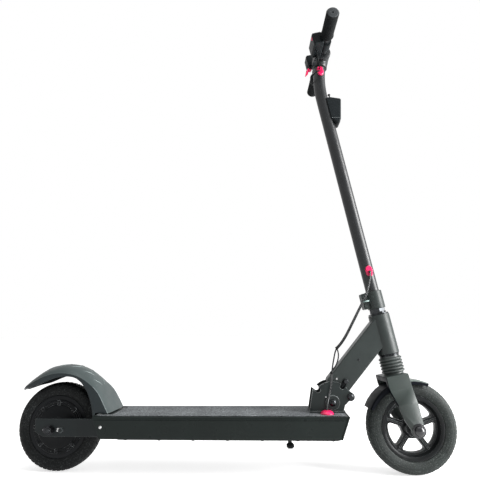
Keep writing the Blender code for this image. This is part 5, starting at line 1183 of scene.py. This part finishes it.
# The cables' routes are given from the bar's middle, in the frame of the steering.
CABLE_RIGHT = (
    (-0.0290, -0.0720, -0.0186), (-0.0300, -0.0720, -0.0290), (-0.0300, -0.0660, -0.0450),
    (-0.0260, -0.0500, -0.0530), (-0.0210, -0.0340, -0.0500), (-0.0190, -0.0235, -0.0475),
)
CABLE_LEFT = (
    (-0.0040, 0.0600, -0.0170), (-0.0060, 0.0590, -0.0260), (-0.0180, 0.0500, -0.0460),
    (-0.0370, 0.0280, -0.0640), (-0.0480, 0.0000, -0.0690), (-0.0440, -0.0230, -0.0660),
    (-0.0310, -0.0310, -0.0600), (-0.0230, -0.0290, -0.0570), (-0.0205, -0.0235, -0.0555),
)
# The wires' routes, in the world's frame, run from the stem's lower grommet to the deck's.
HARNESS_UPPER = (
    (0.3688, -0.0228, 0.4903), (0.3691, -0.0257, 0.4895), (0.3688, -0.0272, 0.4833),
    (0.3665, -0.0278, 0.4700), (0.3605, -0.0285, 0.4480), (0.3530, -0.0292, 0.4280),
    (0.3446, -0.0298, 0.4120), (0.3330, -0.0303, 0.3920), (0.3150, -0.0314, 0.3600),
    (0.2970, -0.0324, 0.3290), (0.2830, -0.0332, 0.3095), (0.2715, -0.0335, 0.2975),
)
HARNESS_BOW = (
    (0.2715, -0.0335, 0.2975), (0.2742, -0.0345, 0.2890), (0.2743, -0.0362, 0.2775),
    (0.2702, -0.0373, 0.2635), (0.2632, -0.0382, 0.2505),
)
HARNESS_CHORD = (
    (0.2715, -0.0335, 0.2975), (0.2672, -0.0335, 0.2884), (0.2636, -0.0340, 0.2750),
    (0.2597, -0.0352, 0.2590), (0.2572, -0.0370, 0.2475),
)
HARNESS_DROP = (
    (0.2550, -0.0385, 0.2386), (0.2535, -0.0388, 0.2215), (0.2500, -0.0400, 0.2010),
    (0.2443, -0.0440, 0.1815), (0.2403, -0.0480, 0.1670), (0.2381, -0.0490, 0.1563),
    (0.2381, -0.0490, 0.1500),
)
WIRE_R = 0.0018
TIE_W = 0.0032
TIE_T = 0.0011
TIE_LOCK = (0.0036, 0.0050, TIE_W + 0.0014)


def cords():
    for name, points in (("right", CABLE_RIGHT), ("left", CABLE_LEFT)):
        route = [BAR + point for point in through(points, 8)]
        obj = sweep("brake_cable_" + name, route, CABLE_R, STEER, 16)
        piece(obj, "steering", "rubber", ("control_cable_" + name,))
    upper_wires()
    lower_wires()


def paired(route, first, last, side):
    """One of two wires laid side by side along a route. They turn about it as they go."""
    moved = []
    for i, (point, ahead) in enumerate(zip(route, headings(route))):
        across = Vector((0, 1, 0))
        across = (across - ahead * across.dot(ahead)).normalized()
        x, y = polar(1, first + (last - first) * i / (len(route) - 1))
        moved.append(point + side * WIRE_R * (across * x + ahead.cross(across) * y))
    return moved


def tie(name, centre, ahead, reach, body, finish, tail=0.0):
    """A flat band round two wires, with its lock and a cut tail. Reach is half its loop."""
    matrix = Matrix.Translation(centre) @ Vector(ahead).to_track_quat("Z", "X").to_matrix().to_4x4()
    along, across = reach
    outer = rounded_rectangle(-along, along, -across, across, min(reach) * 0.98)
    along, wide = along - TIE_T, across - TIE_T
    inner = rounded_rectangle(-along, along, -wide, wide, (min(reach) - TIE_T) * 0.98)
    band = plate(name, outer, -TIE_W / 2, TIE_W / 2, matrix, "Z")
    cut(band, plate(name + "_hole", inner, -TIE_W, TIE_W, matrix, "Z"))
    extra = [block(name + "_lock", TIE_LOCK, (0, across, 0), matrix)]
    if tail:
        size, place = (TIE_T, tail, TIE_W * 0.8), (0.0004, across + tail / 2, 0)
        extra.append(block(name + "_tail", size, place, matrix))
    fuse(band, *extra)
    soften(clean(band), 0.0003)
    return piece(band, body, "rubber", (), finish)


def upper_wires():
    """The wires from the stem's lower grommet down the arm, tied to the clamp."""
    route = through(HARNESS_UPPER, 8)
    wires = [sweep(f"wire_{side}", paired(route, 15, 90, side), WIRE_R) for side in (-1, 1)]
    obj = joined(*wires)
    obj.name = "harness_top"
    piece(obj, None, "rubber", ("harness_upper",), "wire_sleeve")
    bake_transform(obj)
    held = Vector(HARNESS_UPPER[6]) + Vector((0.0070, 0.0085, 0.0010))
    tie("clamp_tie", held, STEER_AXIS, (0.0105, 0.0125), "steering", "tie_grey")


def lower_wires():
    """The wires from the arm round the hinge into the deck. They part between two ties."""
    drop = through(HARNESS_DROP, 8)
    wires = []
    for side, table in ((-1, HARNESS_BOW), (1, HARNESS_CHORD)):
        below = paired(drop, 60, 0, side)
        wires.append(sweep(f"wire_{side}", through([*table, *below[::6], below[-1]], 6), WIRE_R))
    obj = joined(*wires)
    obj.name = "harness_bottom"
    piece(obj, None, "rubber", ("harness_loop", "harness_lower"), "wire_sleeve")
    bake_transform(obj)
    reach = (0.0042, 0.0042)
    tie("upper_tie", HARNESS_BOW[0], (0.45, 0, 0.9), reach, "arm", "rubber", 0.009)
    tie("lower_tie", HARNESS_DROP[0], (0.2, 0, 1), reach, "arm", "rubber", 0.009)


# Fork

GUARD_JOIN = 0.002
LEG_CROWN = 0.42
LEG_SIDE = 0.012
SEAT_BACK = -0.0245
BOOT_RIBS = 5
BOOT_STEPS = 90
BOOT_CUFF = 0.003
BOOT_RELIEF = 0.0045
BOOT_T = 0.002
COIL_TURNS = 5
COIL_STEPS = 28
COIL_R = 0.0115
COIL_WIRE_R = 0.0015


def fork():
    """The fork and its guard, each in two finishes. The guard's front half is painted paler: a painted reflection.
    """
    back = STEER.inverted()
    legs = eased("fork", 0.0010, 3)
    crown_faces(legs)
    second_finish(legs, "guard_black", lambda face: (back @ face.center).x < SEAT_BACK)
    guard = eased("front_fender", 0.0005, 2, "guard_black")
    # The guard's front half is painted paler than its black rear half: a painted reflection.
    second_finish(guard, "guard_paint", lambda face: (back @ face.center).x > GUARD_JOIN)


def crown_faces(obj):
    """Shades the legs' flat sides as if they were crowned from front to back."""
    obj.modifiers.clear()
    mesh = obj.data
    back = STEER.inverted()
    turn = STEER.to_3x3()
    places = [back @ vertex.co for vertex in mesh.vertices]
    outer = max(abs(place.y) for place in places) - LEG_SIDE
    side = [place for place in places if place.y < -outer]
    foot = min(side, key=lambda place: place.z)
    head = max(side, key=lambda place: place.z)
    middle_line = ((foot.z, foot.x), (head.z, head.x))
    front = sorted((p.z, p.x) for p in side if p.x >= between(middle_line, p.z))
    rear = sorted((p.z, p.x) for p in side if p.x < between(middle_line, p.z))
    normals = []
    for polygon in mesh.polygons:
        flat = turn.transposed() @ polygon.normal
        for i in polygon.loop_indices:
            place = places[mesh.loops[i].vertex_index]
            normal = turn.transposed() @ mesh.corner_normals[i].vector
            if abs(flat.y) > 0.75 and abs(place.y) > outer:
                high, low = between(front, place.z), between(rear, place.z)
                half = max(0.004, (high - low) / 2)
                reach = max(-1.0, min(1.0, (place.x - (high + low) / 2) / half))
                normal = flat.copy()
                normal.x += LEG_CROWN * reach
                normal.normalize()
            normals.append(turn @ normal)
    mesh.normals_split_custom_set(normals)


def sprung(obj):
    """Gives a piece its own copy of its mesh."""
    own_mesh(obj)


def bellows():
    """A rubber boot with rounded ribs."""
    low, high = corners("bellows", STEER)
    height = high.z - low.z
    outer = []
    for step in range(BOOT_STEPS + 1):
        rise = height * step / BOOT_STEPS
        t = (rise - BOOT_CUFF) / (height - 2 * BOOT_CUFF)
        wave = abs(math.sin(math.pi * BOOT_RIBS * t)) ** 0.7 if 0 < t < 1 else 0
        outer.append((high.x - BOOT_RELIEF + BOOT_RELIEF * wave, low.z + rise))
    inner = [(radius - BOOT_T, up) for radius, up in reversed(outer)]
    obj = turned("fork_boot", outer + inner, STEER, 72)
    piece(obj, "sprung_fork", "rubber", ("bellows",), "boot_rubber", 60)
    sprung(obj)


def spring():
    low, high = corners("suspension_spring", STEER)
    count = COIL_TURNS * COIL_STEPS
    rise = high.z - low.z - 2 * COIL_WIRE_R
    route = []
    for step in range(count + 1):
        x, y = polar(COIL_R, 360 * step / COIL_STEPS)
        route.append((x, y, low.z + COIL_WIRE_R + rise * step / count))
    obj = sweep("coil_spring", route, COIL_WIRE_R, STEER, 10)
    piece(obj, "steering", "steel", ("suspension_spring",))
    sprung(obj)


# Stage


def floor():
    """A pale floor that shows white away from the object and keeps its shadow."""
    far = FLOOR_HALF
    points = [(-far, -far, 0), (far, -far, 0), (far, far, 0), (-far, far, 0)]
    obj = solid("floor", points, [(0, 1, 2, 3)])
    graph = Graph("floor_white")
    inputs = {
        "Base Color": graph.ramp(graph.noise(3, 2), (0.88, 0.88, 0.88), (0.90, 0.90, 0.90)),
        "Roughness": 0.9,
        "Specular IOR Level": 0.1,
        "Emission Color": (1, 1, 1, 1),
        "Emission Strength": graph.ramp(graph.seen_directly(), 0.0, FLOOR_LIFT, 0, 1),
    }
    graph.fill(graph.shader, inputs)
    obj.data.materials.append(graph.owner)


def studio_light():
    world = bpy.data.worlds.new("studio")
    bpy.context.scene.world = world
    graph = Graph("studio", world)
    strength = graph.ramp(graph.seen_directly(), WORLD_LIGHT, 1.0, 0, 1)
    graph.fill(graph.shader, {"Color": (1, 1, 1, 1), "Strength": strength})
    for name, place, aim, size, glow in SOFTBOXES:
        lamp = bpy.data.lights.new(name, "AREA")
        lamp.shape = "RECTANGLE"
        lamp.size, lamp.size_y = size
        lamp.energy = glow * math.pi * size[0] * size[1]
        towards = (Vector(aim) - Vector(place)).to_track_quat("-Z", "Y")
        new_object(name, lamp, Matrix.Translation(place) @ towards.to_matrix().to_4x4())


def camera():
    data = bpy.data.cameras.new("camera")
    data.sensor_width = SENSOR_MM
    data.sensor_fit = "HORIZONTAL"
    data.lens = SENSOR_MM * FOCAL_PIXELS / PHOTO_PIXELS
    place = (
        Matrix.Translation(CAMERA_PLACE)
        @ Matrix.Rotation(CAMERA_YAW, 4, "Z")
        @ Matrix.Rotation(math.pi / 2 + CAMERA_PITCH, 4, "X")
        @ Matrix.Rotation(CAMERA_ROLL, 4, "Z")
    )
    bpy.context.scene.camera = new_object("camera", data, place)


def plain_nodes():
    """The nodes that no piece stands for keep their shape and take their slot's finish."""
    for name, obj in NODES.items():
        if name not in dressed:
            obj.data.materials.clear()
            obj.data.materials.append(FINISHES[slot_of(name)])


def build():
    camera()
    floor()
    studio_light()
    cords()
    tyre("front_tyre_treaded", "front_tyre", FRONT_WHEEL, "front_wheel", "tyre_rubber")
    tyre("rear_tyre_treaded", "rear_tyre", REAR_WHEEL, "rear_wheel", "rear_tyre_rubber")
    front_rim()
    motor()
    rear_fender()
    eased_nodes()
    screws()
    boss_lip_highlights()
    slot_shade_sheet()
    arm()
    steering()
    grips()
    display()
    light_seams()
    fork()
    bellows()
    spring()
    plain_nodes()


build()
bpy.context.scene.view_settings.view_transform = "Standard"
